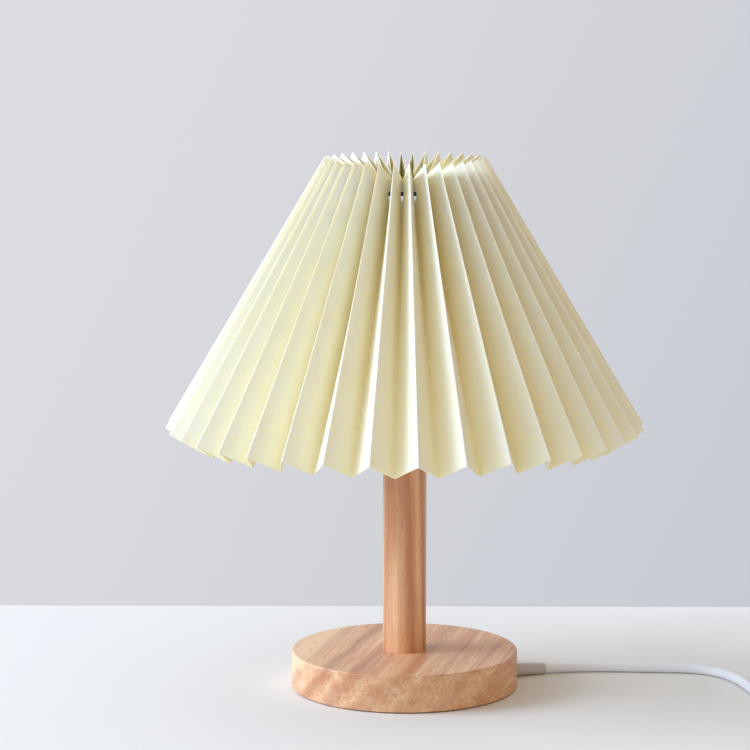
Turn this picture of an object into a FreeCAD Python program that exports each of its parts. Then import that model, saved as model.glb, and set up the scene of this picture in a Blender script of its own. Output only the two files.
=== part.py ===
"""Pleated paper table lamp: a wooden disc base and stem, a lampholder with a wire shade frame,
a conical pleated paper shade hung on the frame's ring through holes punched at its inner folds,
a small globe bulb, and a mains cord with an in-line rocker switch, its spare length coiled and
tied, and a two-pin plug.

Millimetres. +Z is up, -Y is the front, and the origin is the centre of the underside.
Azimuths are in degrees about +Z, from +X towards +Y.
"""
import FreeCAD, Part
import math
import os

PARTS_FOLDER = "parts"
FAR = 400.0  # longer than anything a cutting tool has to pass through
PAST = 1.0  # how far a cutting tool runs past the face that it enters

# ---------------------------------------------------------------- driving dimensions
# Base and pad
base_diameter = 120.0
base_top = 20.0
base_edge_round = 0.8
pad_diameter = 100.0
pad_thickness = 1.5
pad_recess_depth = 1.0
base_cavity_radius = 17.0
base_cavity_top = 12.5
stem_socket_depth = 3.0

# Stem and the threaded tube through it
stem_diameter = 23.0
stem_top = 150.0
stem_edge_round = 0.6
tube_diameter = 10.0
tube_bore = 7.0
tube_below_nut = 0.5
tube_above_stem = 16.0
tube_hole_clearance = 0.2
thread_clearance = 0.04
nut_across_flats = 16.0
nut_height = 3.5
nut_chamfer = 1.2
base_washer_radius = 14.0
base_washer_thickness = 1.5
cup_washer_thickness = 1.2

# Where the cord leaves the base, and how it is held there
exit_azimuth = 18.5
relief_tip_reach = 20.0
relief_shank_length = 10.0
relief_root_radius = 3.6
relief_tip_radius = 2.9
relief_tip_height = 3.0
relief_inner_height = 4.1
relief_clearance = 0.05
cord_diameter = 5.0
clamp_distance = 34.0
clamp_cord_height = 6.4
clamp_length = 24.0
clamp_width = 9.0
clamp_thickness = 1.2
clamp_screw_spacing = 16.0
clamp_screw_radius = 1.4
clamp_screw_length = 9.0
clamp_head_radius = 2.6
clamp_head_height = 1.0
screw_slot_width = 0.6
screw_slot_depth = 0.5
sheath_end_distance = 20.0
cord_slot_clearance = 0.5
lead_diameter = 1.9
lead_spacing = 2.4
lead_bend_radius = 1.5

# Lampholder
holder_radius = 19.5
holder_neck_radius = 8.5
holder_neck_height = 5.0
holder_cap_height = 27.5
holder_cap_rim = 6.0
holder_wall = 2.0
holder_cap_hollow = 1.6
holder_mouth_chamfer = 1.0
holder_flange_radius = 22.5
holder_flange_thickness = 2.0
holder_flange_above_cap = 8.0
holder_thread_radius = 19.4
holder_mouth_above_flange = 22.0
socket_clearance = 0.35
block_height = 10.5
block_below_joint = 5.0
block_clearance = 0.2
block_edge_round = 0.6
contact_thickness = 0.6
contact_width = 5.0
contact_gap = 0.2
terminal_spacing = 18.0
terminal_screw_radius = 1.5
terminal_head_radius = 2.6
terminal_head_height = 1.4
terminal_screw_length = 7.0

# Shade ring
ring_nut_radius = 25.0
ring_nut_height = 7.0
ring_nut_clearance = 0.3
ring_nut_lobes = 16
ring_nut_lobe_radius = 1.6
ring_nut_skirt = 2.0
ring_nut_taper = 2.0
ring_nut_chamfer = 1.0
seat_gap = 0.1

# Bulb
bulb_length = 78.0
bulb_globe_radius = 22.5
bulb_cap_radius = 13.1
bulb_cap_height = 22.0
bulb_foot_height = 5.0
bulb_foot_radius = 8.0
bulb_contact_radius = 5.0
bulb_contact_height = 1.2
bulb_neck_radius = 14.5
bulb_globe_wall = 1.0
bulb_cap_wall = 0.6
bulb_cap_taper = 4.0
bulb_housing_in_cap = 6.0
bulb_globe_shoulder = 20.0  # degrees above the globe's middle, on its outline
led_board_radius = 10.0
led_board_thickness = 1.6

# Pleated shade
pleat_count = 36
strip_count = 12
shade_bottom_radius = 126.2
shade_top_radius = 42.6
shade_bottom_height = 141.0
shade_top_height = 282.3
facet_width = 19.6
paper_thickness = 0.4
first_ridge_azimuth = -86.95
bunching = 1.9
hole_radius = 3.4
hole_from_edge = 10.0

# Wire frame of the shade
leg_count = 3
wire_diameter = 2.4
ring_to_hole_gap = 0.25
ring_outside_fold = 1.54
fitter_radius = 25.0
fitter_thickness = 1.2
fitter_clearance = 0.5
leg_bend_radius = 4.0
leg_clearance = 1.0

# In-line switch
switch_length = 58.0
switch_width = 23.0
switch_lower_height = 6.0
switch_upper_height = 8.0
switch_corner_radius = 8.0
switch_edge_round = 1.6
switch_wall = 1.6
rocker_length = 19.0
rocker_width = 9.9
rocker_clearance = 0.4
rocker_half_travel = 7.0
rocker_pivot_height = 11.0
rocker_end_rise = 3.2
rocker_middle_rise = 2.2
rocker_foot_depth = 3.4
rocker_foot_width = 5.0
rocker_skirt = 0.4
trunnion_radius = 1.0
trunnion_length = 1.2
trunnion_clearance = 0.05
cheek_thickness = 2.2
cheek_length = 8.0
switch_screw_x = 20.0
switch_screw_y = 6.6
switch_screw_radius = 1.1
switch_head_radius = 2.0
switch_head_height = 1.4
switch_head_recess = 0.6
switch_boss_radius = 2.7
switch_screw_end = 11.0
switch_cord_grip = 8.0
switch_contact_thickness = 0.8
switch_contact_length = 14.0
switch_contact_width = 3.0

# Plug
plug_width = 35.0
plug_height = 13.0
plug_length = 27.0
plug_shoulder = 13.0
plug_tail_width = 13.0
plug_edge_round = 2.5
plug_relief_length = 20.0
plug_relief_radius = 4.2
plug_relief_tip_radius = 3.1
pin_radius = 2.0
pin_length = 19.0
pin_spacing = 18.6
pin_root = 6.0
pin_sleeve_length = 10.0
pin_core_radius = 1.5

# Coil of the put-away cord
coil_outer_radius = 34.8
coil_pitch = 5.6
coil_layers = 4
coil_turns = 7.5
coil_turns_per_layer = 2.0
coil_climb = 0.5
tie_thickness = 0.8
tie_width = 5.0
tie_clearance = 0.3
floor_gap = 0.2
tie_azimuth = 90.0

# Places of what lies on the table beside the lamp
switch_centre = (265.0, -6.0)
switch_heading = 88.0
coil_centre = (240.0, 80.0)
plug_rear = (213.0, 17.0)

# The cord on the table, from the base to the switch and from the coil to the plug. Each list
# goes between ends that are worked out from the pieces it joins, which it leaves straight.
switch_straight = 14.0
coil_straight = 13.0
plug_straight = 8.0
cord_radius = cord_diameter / 2
lying = cord_radius
cord_to_switch = [
    (89.2, 29.8, lying),
    (111.0, 30.4, lying),
    (136.0, 28.8, lying),
    (160.5, 27.2, lying),
    (175.5, 13.0, lying),
    (183.0, -12.5, lying),
    (187.6, -38.0, lying),
    (200.0, -60.5, lying),
    (223.0, -73.5, lying),
    (247.5, -70.5, 3.2),
]
cord_to_plug = [
    (209.0, 51.0, 16.2),
    (211.5, 37.5, 9.6),
]

# ---------------------------------------------------------------- sizes that follow
base_radius = base_diameter / 2
base_bottom = pad_thickness - pad_recess_depth
stem_radius = stem_diameter / 2
stem_foot = base_top - stem_socket_depth
tube_radius = tube_diameter / 2
tube_hole_radius = tube_radius + tube_hole_clearance
base_nut_top = base_cavity_top - base_washer_thickness
tube_bottom = base_nut_top - nut_height - tube_below_nut
tube_top = stem_top + tube_above_stem
stem_nut_bottom = stem_top + cup_washer_thickness
holder_bottom = stem_nut_bottom + nut_height
cap_top = holder_bottom + holder_cap_height
block_bottom = cap_top - block_below_joint
block_top = block_bottom + block_height
flange_top = cap_top + holder_flange_above_cap + holder_flange_thickness
mouth_height = flange_top + holder_mouth_above_flange
socket_radius = bulb_cap_radius + socket_clearance
recess_radius = holder_radius - holder_wall
bulb_bottom = block_top + contact_thickness * 2 + contact_gap
bulb_top = bulb_bottom + bulb_length
globe_centre = bulb_top - bulb_globe_radius
fitter_bottom = flange_top + seat_gap
fitter_top = fitter_bottom + fitter_thickness
wire_radius = wire_diameter / 2
leg_foot_radius = ring_nut_radius + leg_clearance + leg_bend_radius
clamp_top = clamp_cord_height - cord_radius
switch_height = switch_lower_height + switch_upper_height
coil_bottom_height = cord_radius + tie_thickness + tie_clearance + floor_gap
coil_depth = coil_pitch * coil_turns_per_layer


def vec(x, y, z):
    return FreeCAD.Vector(x, y, z)


def save(node, shape):
    """Write one sub-part and print its volume."""
    shape.exportStep(os.path.join(PARTS_FOLDER, node + ".step"))
    volume = shape.Volume / 1000
    print(f"{node:24s} {len(shape.Solids)} solid(s) {volume:9.3f} cm3  valid {shape.isValid()}")


# ---------------------------------------------------------------- simple forms
def cylinder(radius, low, high, x=0.0, y=0.0):
    return Part.makeCylinder(radius, high - low, vec(x, y, low))


def ring(inner, outer, low, high):
    return cylinder(outer, low, high).cut(cylinder(inner, low - PAST, high + PAST))


def box(x_low, x_high, y_low, y_high, z_low, z_high):
    return Part.makeBox(x_high - x_low, y_high - y_low, z_high - z_low, vec(x_low, y_low, z_low))


def turned(profile):
    """A solid of revolution from a closed profile of (radius, height) points.

    A point with a third value is the middle of an arc between the points beside it."""
    edges = []
    count = len(profile)
    for i, point in enumerate(profile):
        following = profile[(i + 1) % count]
        if len(point) == 3:
            continue
        start = vec(point[0], 0, point[1])
        if len(following) == 3:
            end = profile[(i + 2) % count]
            middle = vec(following[0], 0, following[1])
            edges.append(Part.Arc(start, middle, vec(end[0], 0, end[1])).toShape())
        else:
            edges.append(Part.LineSegment(start, vec(following[0], 0, following[1])).toShape())
    face = Part.Face(Part.Wire(edges))
    return face.revolve(vec(0, 0, 0), vec(0, 0, 1), 360)


def prism(points, low, high):
    """A solid of constant outline, from (x, y) points, between two heights."""
    corners = [vec(x, y, low) for x, y in points]
    return Part.Face(Part.makePolygon(corners + corners[:1])).extrude(vec(0, 0, high - low))


def rounded_block(length, width, low, high, corner):
    """A block centred on the Z axis with its upright edges rounded."""
    block = box(-length / 2, length / 2, -width / 2, width / 2, low, high)
    upright = [e for e in block.Edges if abs(e.tangentAt(e.FirstParameter).z) > 0.9]
    return block.makeFillet(corner, upright)


def round_edges_at(shape, height, radius):
    """Round the edges that lie flat at one height."""
    flat = [
        e for e in shape.Edges
        if abs(e.BoundBox.ZMin - height) < 1e-4 and abs(e.BoundBox.ZMax - height) < 1e-4
    ]
    return shape.makeFillet(radius, flat)


def hex_nut(low, hole_radius):
    """A hexagonal nut whose corners are chamfered on both faces."""
    corner = nut_across_flats / 2 / math.cos(math.radians(30))
    angles = [math.radians(60 * k) for k in range(6)]
    high = low + nut_height
    blank = prism([(corner * math.cos(a), corner * math.sin(a)) for a in angles], low, high)
    face = nut_across_flats / 2
    wide = face + 2 * nut_chamfer
    chamfer = turned([
        (0, low), (face, low), (wide, low + nut_chamfer), (wide, high - nut_chamfer), (face, high), (0, high),
    ])
    return blank.common(chamfer).cut(cylinder(hole_radius, low - PAST, high + PAST))


def towards_exit(shape):
    """Turn a shape made along +X so that it points along the cord's way out of the base."""
    shape.rotate(vec(0, 0, 0), vec(0, 0, 1), exit_azimuth)
    return shape


def placed(shape, place, heading):
    """Turn a shape made along +X to a heading on the table and move it to its place."""
    shape.rotate(vec(0, 0, 0), vec(0, 0, 1), heading)
    shape.translate(vec(place[0], place[1], 0))
    return shape


def place_of(point, place, heading):
    """Where placed() puts one point."""
    angle = math.radians(heading)
    x, y, z = point
    return (
        place[0] + x * math.cos(angle) - y * math.sin(angle),
        place[1] + x * math.sin(angle) + y * math.cos(angle),
        z,
    )


# ---------------------------------------------------------------- paths
def rounded_path(points, radius=None):
    """Straight runs through the points, joined by tangent arcs, and the tightest arc's radius.

    Each arc is as large as its two runs allow, unless a radius is given."""
    points = [vec(*p) for p in points]
    edges = []
    start = points[0]
    tightest = FAR
    for before, corner, after in zip(points, points[1:], points[2:]):
        arriving = (corner - before).normalize()
        leaving = (after - corner).normalize()
        turn = arriving.getAngle(leaving)
        shorter = min((corner - before).Length, (after - corner).Length)
        bend = radius or 0.45 * shorter / math.tan(turn / 2)
        reach = bend * math.tan(turn / 2)
        tightest = min(tightest, bend)
        arc_start = corner - arriving * reach
        arc_end = corner + leaving * reach
        inwards = (leaving - arriving).normalize()
        middle = corner + inwards * (bend / math.cos(turn / 2) - bend)
        edges.append(Part.LineSegment(start, arc_start).toShape())
        edges.append(Part.Arc(arc_start, middle, arc_end).toShape())
        start = arc_end
    edges.append(Part.LineSegment(start, points[-1]).toShape())
    return Part.Wire(edges), tightest


def tube_on(path, radius):
    """A round solid of one radius along a path."""
    first = path.OrderedEdges[0]
    start = first.valueAt(first.FirstParameter)
    direction = first.tangentAt(first.FirstParameter)
    if (start - path.OrderedVertexes[0].Point).Length > 1e-6:
        start = first.valueAt(first.LastParameter)
        direction = first.tangentAt(first.LastParameter) * -1
    profile = Part.Wire(Part.Circle(start, direction, radius).toShape())
    return path.makePipeShell([profile], True, False)


def report_cord(name, path, solid, radius, tightest):
    expected = math.pi * radius**2 * path.Length
    print(
        f"{name}: length {path.Length:.1f}, tightest radius {tightest:.1f}, "
        f"volume {solid.Volume / expected:.4f} of section times length"
    )


def free_cord(name, points):
    path, tightest = rounded_path(points)
    solid = tube_on(path, cord_radius)
    report_cord(name, path, solid, cord_radius, tightest)
    save(name, solid)
    return path.Length


# ---------------------------------------------------------------- base and stem
def relief_height(distance):
    """Height of the strain relief's axis at a distance from the lamp's axis."""
    inner = base_radius - relief_shank_length
    tip = base_radius + relief_tip_reach
    share = (distance - inner) / (tip - inner)
    return relief_inner_height + share * (relief_tip_height - relief_inner_height)


def cord_way_out():
    """The space milled in the base's underside for the cord, its clamp and its sleeve, along +X."""
    inner = base_radius - relief_shank_length
    outside = base_radius + PAST
    slot_top = clamp_cord_height + cord_radius + relief_clearance
    half_slot = cord_radius + cord_slot_clearance
    slot = box(0, inner, -half_slot, half_slot, -PAST, slot_top)
    half_mouth = relief_root_radius + relief_clearance
    floor = [
        (inner, -PAST), (outside, -PAST), (outside, relief_height(outside)), (inner, relief_height(inner)),
    ]
    corners = [vec(x, -half_mouth, z) for x, z in floor]
    mouth = Part.Face(Part.makePolygon(corners + corners[:1])).extrude(vec(0, 2 * half_mouth, 0))
    start = vec(inner, 0, relief_height(inner))
    axis = vec(outside, 0, relief_height(outside)) - start
    arch = Part.makeCylinder(half_mouth, axis.Length, start, axis)
    pocket = box(
        clamp_distance - clamp_width / 2 - cord_slot_clearance,
        clamp_distance + clamp_width / 2 + cord_slot_clearance,
        -clamp_length / 2 - cord_slot_clearance, clamp_length / 2 + cord_slot_clearance, -PAST, clamp_top,
    )
    return slot.fuse([mouth, arch, pocket])


def base_disc():
    disc = cylinder(base_radius, base_bottom, base_top)
    disc = round_edges_at(disc, base_top, base_edge_round)
    disc = round_edges_at(disc, base_bottom, base_edge_round)
    tools = [
        cylinder(pad_diameter / 2 + relief_clearance, base_bottom - PAST, pad_thickness),
        cylinder(base_cavity_radius, base_bottom - PAST, base_cavity_top),
        cylinder(tube_hole_radius, base_bottom, base_top + PAST),
        cylinder(stem_radius + relief_clearance, stem_foot, base_top + PAST),
        towards_exit(cord_way_out()),
        towards_exit(clamp_screw_shanks()),
    ]
    return disc.cut(tools)


def base_pad():
    return round_edges_at(cylinder(pad_diameter / 2, 0, pad_thickness), 0, pad_thickness / 3)


def stem():
    post = cylinder(stem_radius, stem_foot, stem_top)
    post = round_edges_at(post, stem_top, stem_edge_round)
    return post.cut(cylinder(tube_hole_radius, stem_foot - PAST, stem_top + PAST))


def threaded_tube():
    return ring(tube_bore / 2, tube_radius, tube_bottom, tube_top)


# ---------------------------------------------------------------- the cord inside the base
def clamp_screw_places():
    return [(clamp_distance, side * clamp_screw_spacing / 2) for side in (-1, 1)]


def clamp_screw_shanks():
    low = clamp_top - clamp_thickness
    shanks = [
        cylinder(clamp_screw_radius, low, low + clamp_screw_length, x, y)
        for x, y in clamp_screw_places()
    ]
    return Part.makeCompound(shanks)


def clamp_screws():
    low = clamp_top - clamp_thickness
    screws = []
    for x, y in clamp_screw_places():
        shank = cylinder(clamp_screw_radius, low, low + clamp_screw_length, x, y)
        head = cylinder(clamp_head_radius, low - clamp_head_height, low, x, y)
        slot_top = low - clamp_head_height + screw_slot_depth
        half_slot = screw_slot_width / 2
        slot = box(x - FAR, x + FAR, y - half_slot, y + half_slot, slot_top - FAR, slot_top)
        screws.append(head.fuse(shank).removeSplitter().cut(slot))
    return towards_exit(Part.makeCompound(screws))


def cord_clamp():
    low = clamp_top - clamp_thickness
    plate = rounded_block(clamp_width, clamp_length, low, clamp_top, clamp_width / 3)
    plate.translate(vec(clamp_distance, 0, 0))
    holes = [
        cylinder(clamp_screw_radius + relief_clearance, low - PAST, clamp_top + PAST, x, y)
        for x, y in clamp_screw_places()
    ]
    return towards_exit(plate.cut(holes))


def strain_relief():
    """Tapered sleeve that holds the cord in the mouth of the base's groove."""
    inner = base_radius - relief_shank_length
    tip = base_radius + relief_tip_reach
    length = math.hypot(tip - inner, relief_height(tip) - relief_height(inner))
    shank = length * relief_shank_length / (relief_shank_length + relief_tip_reach)
    bore = cord_radius + relief_clearance
    tip_round = (relief_tip_radius - bore) / 2
    sleeve = turned([
        (bore, 0), (relief_root_radius, 0), (relief_root_radius, shank),
        (relief_tip_radius, length - tip_round), (relief_tip_radius - tip_round, length), (bore, length),
    ])
    drop = math.degrees(math.atan2(relief_height(inner) - relief_height(tip), tip - inner))
    sleeve.rotate(vec(0, 0, 0), vec(0, 1, 0), 90 + drop)
    sleeve.translate(vec(inner, 0, relief_height(inner)))
    return towards_exit(sleeve)


def inner_cord():
    """The sheathed cord from the sleeve's tip, through the clamp, to where its sheath ends."""
    tip = base_radius + relief_tip_reach
    inner = base_radius - relief_shank_length
    clamp_end = clamp_distance + clamp_width / 2
    path, tightest = rounded_path([
        (tip, 0, relief_height(tip)),
        (inner - PAST, 0, relief_height(inner - PAST)),
        (clamp_end + PAST, 0, clamp_cord_height),
        (sheath_end_distance, 0, clamp_cord_height),
    ])
    solid = tube_on(path, cord_radius)
    report_cord("inner_cord", path, solid, cord_radius, tightest)
    return towards_exit(solid), path.Length


def lead(side):
    """One insulated lead, from the end of the sheath, up the tube, to its terminal screw."""
    beside = side * lead_spacing / 2
    terminal = side * terminal_spacing / 2
    head = block_bottom - terminal_head_height
    path, _ = rounded_path([
        (sheath_end_distance, beside, clamp_cord_height - lead_diameter / 2),
        (0, beside, clamp_cord_height - lead_diameter / 2),
        (0, beside, tube_top),
        (0, terminal, (tube_top + head) / 2),
        (0, terminal, head),
    ], lead_bend_radius)
    return towards_exit(tube_on(path, lead_diameter / 2))


# ---------------------------------------------------------------- lampholder
def holder_cap():
    """Cap that screws on the threaded tube, flared up to the holder's full width."""
    neck_top = holder_bottom + holder_neck_height
    rim_bottom = cap_top - holder_cap_rim
    bore = tube_radius + thread_clearance
    inside_floor = tube_top + holder_wall / 2
    middle_radius = (holder_radius + holder_neck_radius) / 2 + holder_cap_hollow
    middle_height = (neck_top + rim_bottom) / 2 - holder_cap_hollow
    flare = (middle_radius, middle_height, "arc")
    inner_flare = (middle_radius - holder_wall * 0.8, middle_height + holder_wall * 1.5, "arc")
    return turned([
        (bore, holder_bottom), (holder_neck_radius, holder_bottom), (holder_neck_radius, neck_top),
        flare, (holder_radius, rim_bottom), (holder_radius, cap_top), (recess_radius, cap_top),
        (recess_radius, rim_bottom + holder_wall / 2), inner_flare, (holder_neck_radius, inside_floor),
        (bore, inside_floor),
    ])


def holder_shell():
    """Upper shell with the flange that the shade sits on and the bulb's socket."""
    recess_top = flange_top + holder_wall
    flange_bottom = flange_top - holder_flange_thickness
    return turned([
        (recess_radius, cap_top), (holder_radius, cap_top), (holder_radius, flange_bottom),
        (holder_flange_radius, flange_bottom), (holder_flange_radius, flange_top),
        (holder_thread_radius, flange_top), (holder_thread_radius, mouth_height - holder_mouth_chamfer),
        (holder_thread_radius - holder_mouth_chamfer, mouth_height), (socket_radius, mouth_height),
        (socket_radius, recess_top), (recess_radius, recess_top),
    ])


def terminal_places():
    return [(0, side * terminal_spacing / 2) for side in (-1, 1)]


def terminal_block():
    block = cylinder(recess_radius - block_clearance, block_bottom, block_top)
    block = round_edges_at(block, block_top, block_edge_round)
    block = round_edges_at(block, block_bottom, block_edge_round)
    holes = [
        cylinder(terminal_screw_radius + thread_clearance, block_bottom - PAST,
                 block_bottom + terminal_screw_length + thread_clearance, x, y)
        for x, y in terminal_places()
    ]
    return towards_exit(block.cut(holes))


def terminal_screws():
    screws = []
    for x, y in terminal_places():
        head = cylinder(terminal_head_radius, block_bottom - terminal_head_height, block_bottom, x, y)
        shank = cylinder(terminal_screw_radius, block_bottom, block_bottom + terminal_screw_length, x, y)
        screws.append(head.fuse(shank).removeSplitter())
    return towards_exit(Part.makeCompound(screws))


def centre_contact():
    """Springy tab that stands up from the block under the bulb's foot contact."""
    half = contact_width / 2
    touch = bulb_bottom - contact_gap
    foot = contact_width * 1.6
    bend = contact_width * 0.6
    foot_top = block_top + contact_thickness
    outline = [
        (-foot, block_top), (-bend, block_top), (-half / 2, touch - contact_thickness),
        (half, touch - contact_thickness), (half, touch), (-half / 2, touch),
        (-bend - contact_thickness, foot_top), (-foot, foot_top),
    ]
    corners = [vec(x, -half, z) for x, z in outline]
    tab = Part.Face(Part.makePolygon(corners + corners[:1])).extrude(vec(0, contact_width, 0))
    return towards_exit(tab)


def side_contact():
    """Upright strip that touches the bulb's screw cap from the side."""
    inside = socket_radius
    outside = inside + contact_thickness
    top = flange_top + holder_wall - contact_gap
    half = contact_width / 2
    upright = box(inside, outside, -half, half, block_top, top)
    foot = box(inside, inside + contact_thickness * 4, -half, half, block_top, block_top + contact_thickness)
    return towards_exit(upright.fuse(foot).removeSplitter())


def shade_ring():
    """Ring that screws down on the holder and grips the shade's fitter plate, with finger flutes."""
    low = fitter_top + seat_gap
    high = low + ring_nut_height
    inner = holder_thread_radius + ring_nut_clearance
    top_radius = ring_nut_radius - ring_nut_taper
    blank = turned([
        (inner, low), (ring_nut_radius, low), (ring_nut_radius, low + ring_nut_skirt),
        (top_radius, high - ring_nut_chamfer), (top_radius - ring_nut_chamfer, high), (inner, high),
    ])
    flutes = []
    for k in range(ring_nut_lobes):
        angle = 2 * math.pi * k / ring_nut_lobes
        x = (ring_nut_radius + ring_nut_lobe_radius / 2) * math.cos(angle)
        y = (ring_nut_radius + ring_nut_lobe_radius / 2) * math.sin(angle)
        flutes.append(cylinder(ring_nut_lobe_radius, low + ring_nut_skirt, high + PAST, x, y))
    return blank.cut(flutes)


# ---------------------------------------------------------------- bulb
def globe_outline(radius, neck):
    """The globe's outline from where its neck meets the housing to its top, as a line and an arc."""
    side = math.radians(bulb_globe_shoulder)
    return (
        (neck, globe_centre - math.sqrt(radius**2 - neck**2)),
        (radius * math.cos(side), globe_centre + radius * math.sin(side), "arc"),
        (0, globe_centre + radius),
    )


def bulb_pieces():
    """The bulb's pieces by node: a screw cap with its foot, a plastic housing and an opal globe."""
    contact_top = bulb_bottom + bulb_contact_height
    foot_top = bulb_bottom + bulb_foot_height
    cap_high = foot_top + bulb_cap_height
    cap_inside = bulb_cap_radius - bulb_cap_wall
    taper_top = foot_top + bulb_cap_taper
    housing_low = cap_high - bulb_housing_in_cap
    start, shoulder, top = globe_outline(bulb_globe_radius, bulb_neck_radius)
    seam = start[1]
    inner_globe = bulb_globe_radius - bulb_globe_wall
    inner_neck = bulb_neck_radius - bulb_globe_wall
    inner_start, inner_shoulder, inner_top = globe_outline(inner_globe, inner_neck)
    return {
        "bulb_foot_contact": cylinder(bulb_contact_radius, bulb_bottom, contact_top),
        "bulb_foot_insulator": turned([
            (0, contact_top), (bulb_contact_radius, contact_top), (bulb_foot_radius, foot_top), (0, foot_top),
        ]),
        "bulb_screw_cap": turned([
            (0, foot_top), (bulb_foot_radius, foot_top), (bulb_cap_radius, taper_top),
            (bulb_cap_radius, cap_high), (cap_inside, cap_high), (cap_inside, taper_top + bulb_cap_wall),
            (bulb_foot_radius, foot_top + bulb_cap_wall), (0, foot_top + bulb_cap_wall),
        ]),
        "bulb_housing": turned([
            (0, housing_low), (cap_inside, housing_low), (cap_inside, cap_high), (bulb_cap_radius, cap_high),
            (bulb_neck_radius, seam), (0, seam),
        ]),
        "led_board": cylinder(led_board_radius, seam, seam + led_board_thickness),
        "bulb_globe": turned([
            (inner_neck, seam), start, shoulder, top, inner_top, inner_shoulder, inner_start,
        ]),
    }


# ---------------------------------------------------------------- pleated shade
cone_slant = math.atan2(shade_bottom_radius - shade_top_radius, shade_top_height - shade_bottom_height)


def ridge_azimuth(k):
    """Azimuth of an outer fold. The pleats stand a little wider at each leg of the frame."""
    even = 360.0 * k / pleat_count
    return first_ridge_azimuth + even + bunching * math.sin(math.radians(leg_count * even))


def pleat_depth(ridge_radius, half_pitch):
    """How far an inner fold lies in from its outer folds, square to the cone, for one facet width."""
    bulge = 1 - math.cos(half_pitch)
    along = ridge_radius * math.cos(cone_slant) * bulge
    return along + math.sqrt(along**2 + facet_width**2 - 2 * ridge_radius**2 * bulge)


def fold_point(radius, height, inwards, azimuth):
    """A point of a fold, moved inwards square to the cone's side."""
    r = radius - inwards * math.cos(cone_slant)
    z = height - inwards * math.sin(cone_slant)
    angle = math.radians(azimuth)
    return vec(r * math.cos(angle), r * math.sin(angle), z)


def fold_ends(k):
    """Azimuth and inward depths at the bottom and top of the k-th fold: even folds are ridges."""
    if k % 2 == 0:
        return ridge_azimuth(k // 2), 0.0, 0.0
    before = ridge_azimuth((k - 1) // 2)
    after = ridge_azimuth((k + 1) // 2)
    half_pitch = math.radians(after - before) / 2
    return (
        (before + after) / 2,
        pleat_depth(shade_bottom_radius, half_pitch),
        pleat_depth(shade_top_radius, half_pitch),
    )


def paper_shift(ridge_radius):
    """How far the paper's inner face is shifted in so that each facet has the paper's thickness."""
    half_pitch = math.pi / pleat_count
    depth = pleat_depth(ridge_radius, half_pitch)
    fold_half_angle = math.atan2(ridge_radius * math.sin(half_pitch), depth)
    return paper_thickness / math.sin(fold_half_angle)


def shade_corners(k):
    """The four corners of the k-th fold: outer bottom, outer top, inner bottom and inner top."""
    azimuth, bottom_in, top_in = fold_ends(k)
    return (
        fold_point(shade_bottom_radius, shade_bottom_height, bottom_in, azimuth),
        fold_point(shade_top_radius, shade_top_height, top_in, azimuth),
        fold_point(shade_bottom_radius, shade_bottom_height,
                   bottom_in + paper_shift(shade_bottom_radius), azimuth),
        fold_point(shade_top_radius, shade_top_height, top_in + paper_shift(shade_top_radius), azimuth),
    )


def patch(a, b, c, d):
    """A ruled face between the edges a-b and d-c."""
    return Part.makeRuledSurface(Part.LineSegment(a, b).toShape(), Part.LineSegment(d, c).toShape())


def paper_strip(first, last):
    """A folded strip of paper from one outer fold to another, with a round hole at each inner fold."""
    corners = [shade_corners(k) for k in range(first, last + 1)]
    faces = []
    for here, there in zip(corners, corners[1:]):
        low, high, low_in, high_in = here
        next_low, next_high, next_low_in, next_high_in = there
        faces.append(patch(low, high, next_high, next_low))
        faces.append(patch(low_in, high_in, next_high_in, next_low_in))
        faces.append(patch(low, low_in, next_low_in, next_low))
        faces.append(patch(high, high_in, next_high_in, next_high))
    for low, high, low_in, high_in in (corners[0], corners[-1]):
        faces.append(patch(low, high, high_in, low_in))
    surface = Part.makeCompound(faces)
    surface.sewShape()
    paper = Part.makeSolid(surface.Shells[0])
    if paper.Volume < 0:
        paper.reverse()
    return paper.cut([punch(k) for k in range(first + 1, last, 2)])


def pleated_shade():
    """Equal folded strips, glued edge to edge along outer folds."""
    folds = 2 * (pleat_count // strip_count)
    return Part.makeCompound([paper_strip(i * folds, (i + 1) * folds) for i in range(strip_count)])


def hole_centre(k):
    """Centre of the hole at an inner fold, measured down the fold from its cut end."""
    low, high, _, _ = shade_corners(k)
    return high + (low - high).normalize() * hole_from_edge


def punch(k):
    """Ball that cuts a round hole through the two facets at an inner fold.

    Its poles point along the lamp's rim and its seam to the inside, clear of the paper."""
    azimuth = math.radians(fold_ends(k)[0])
    level_in = -math.cos(cone_slant)
    inwards = vec(math.cos(azimuth) * level_in, math.sin(azimuth) * level_in, -math.sin(cone_slant))
    beside = vec(-math.sin(azimuth), math.cos(azimuth), 0)
    ball = Part.makeSphere(hole_radius)
    ball.Placement = FreeCAD.Placement(hole_centre(k), FreeCAD.Rotation(inwards, vec(0, 0, 0), beside, "ZXY"))
    return ball


# ---------------------------------------------------------------- wire frame
def ring_place():
    """Radius and height of the wire ring, just under the top of the holes at the inner folds."""
    centre = hole_centre(1)
    fold_radius = math.hypot(centre.x, centre.y)
    room = hole_radius - wire_radius - ring_to_hole_gap
    up_the_fold = math.sqrt(max(room**2 - ring_outside_fold**2, 0))
    slant_in = math.sin(cone_slant)
    slant_up = math.cos(cone_slant)
    radius = fold_radius - up_the_fold * slant_in + ring_outside_fold * slant_up
    height = centre.z + up_the_fold * slant_up + ring_outside_fold * slant_in
    return radius, height


def top_ring():
    radius, height = ring_place()
    return Part.makeTorus(radius, wire_radius, vec(0, 0, height))


def fitter_plate():
    return ring(holder_thread_radius + fitter_clearance, fitter_radius, fitter_bottom, fitter_top)


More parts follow.
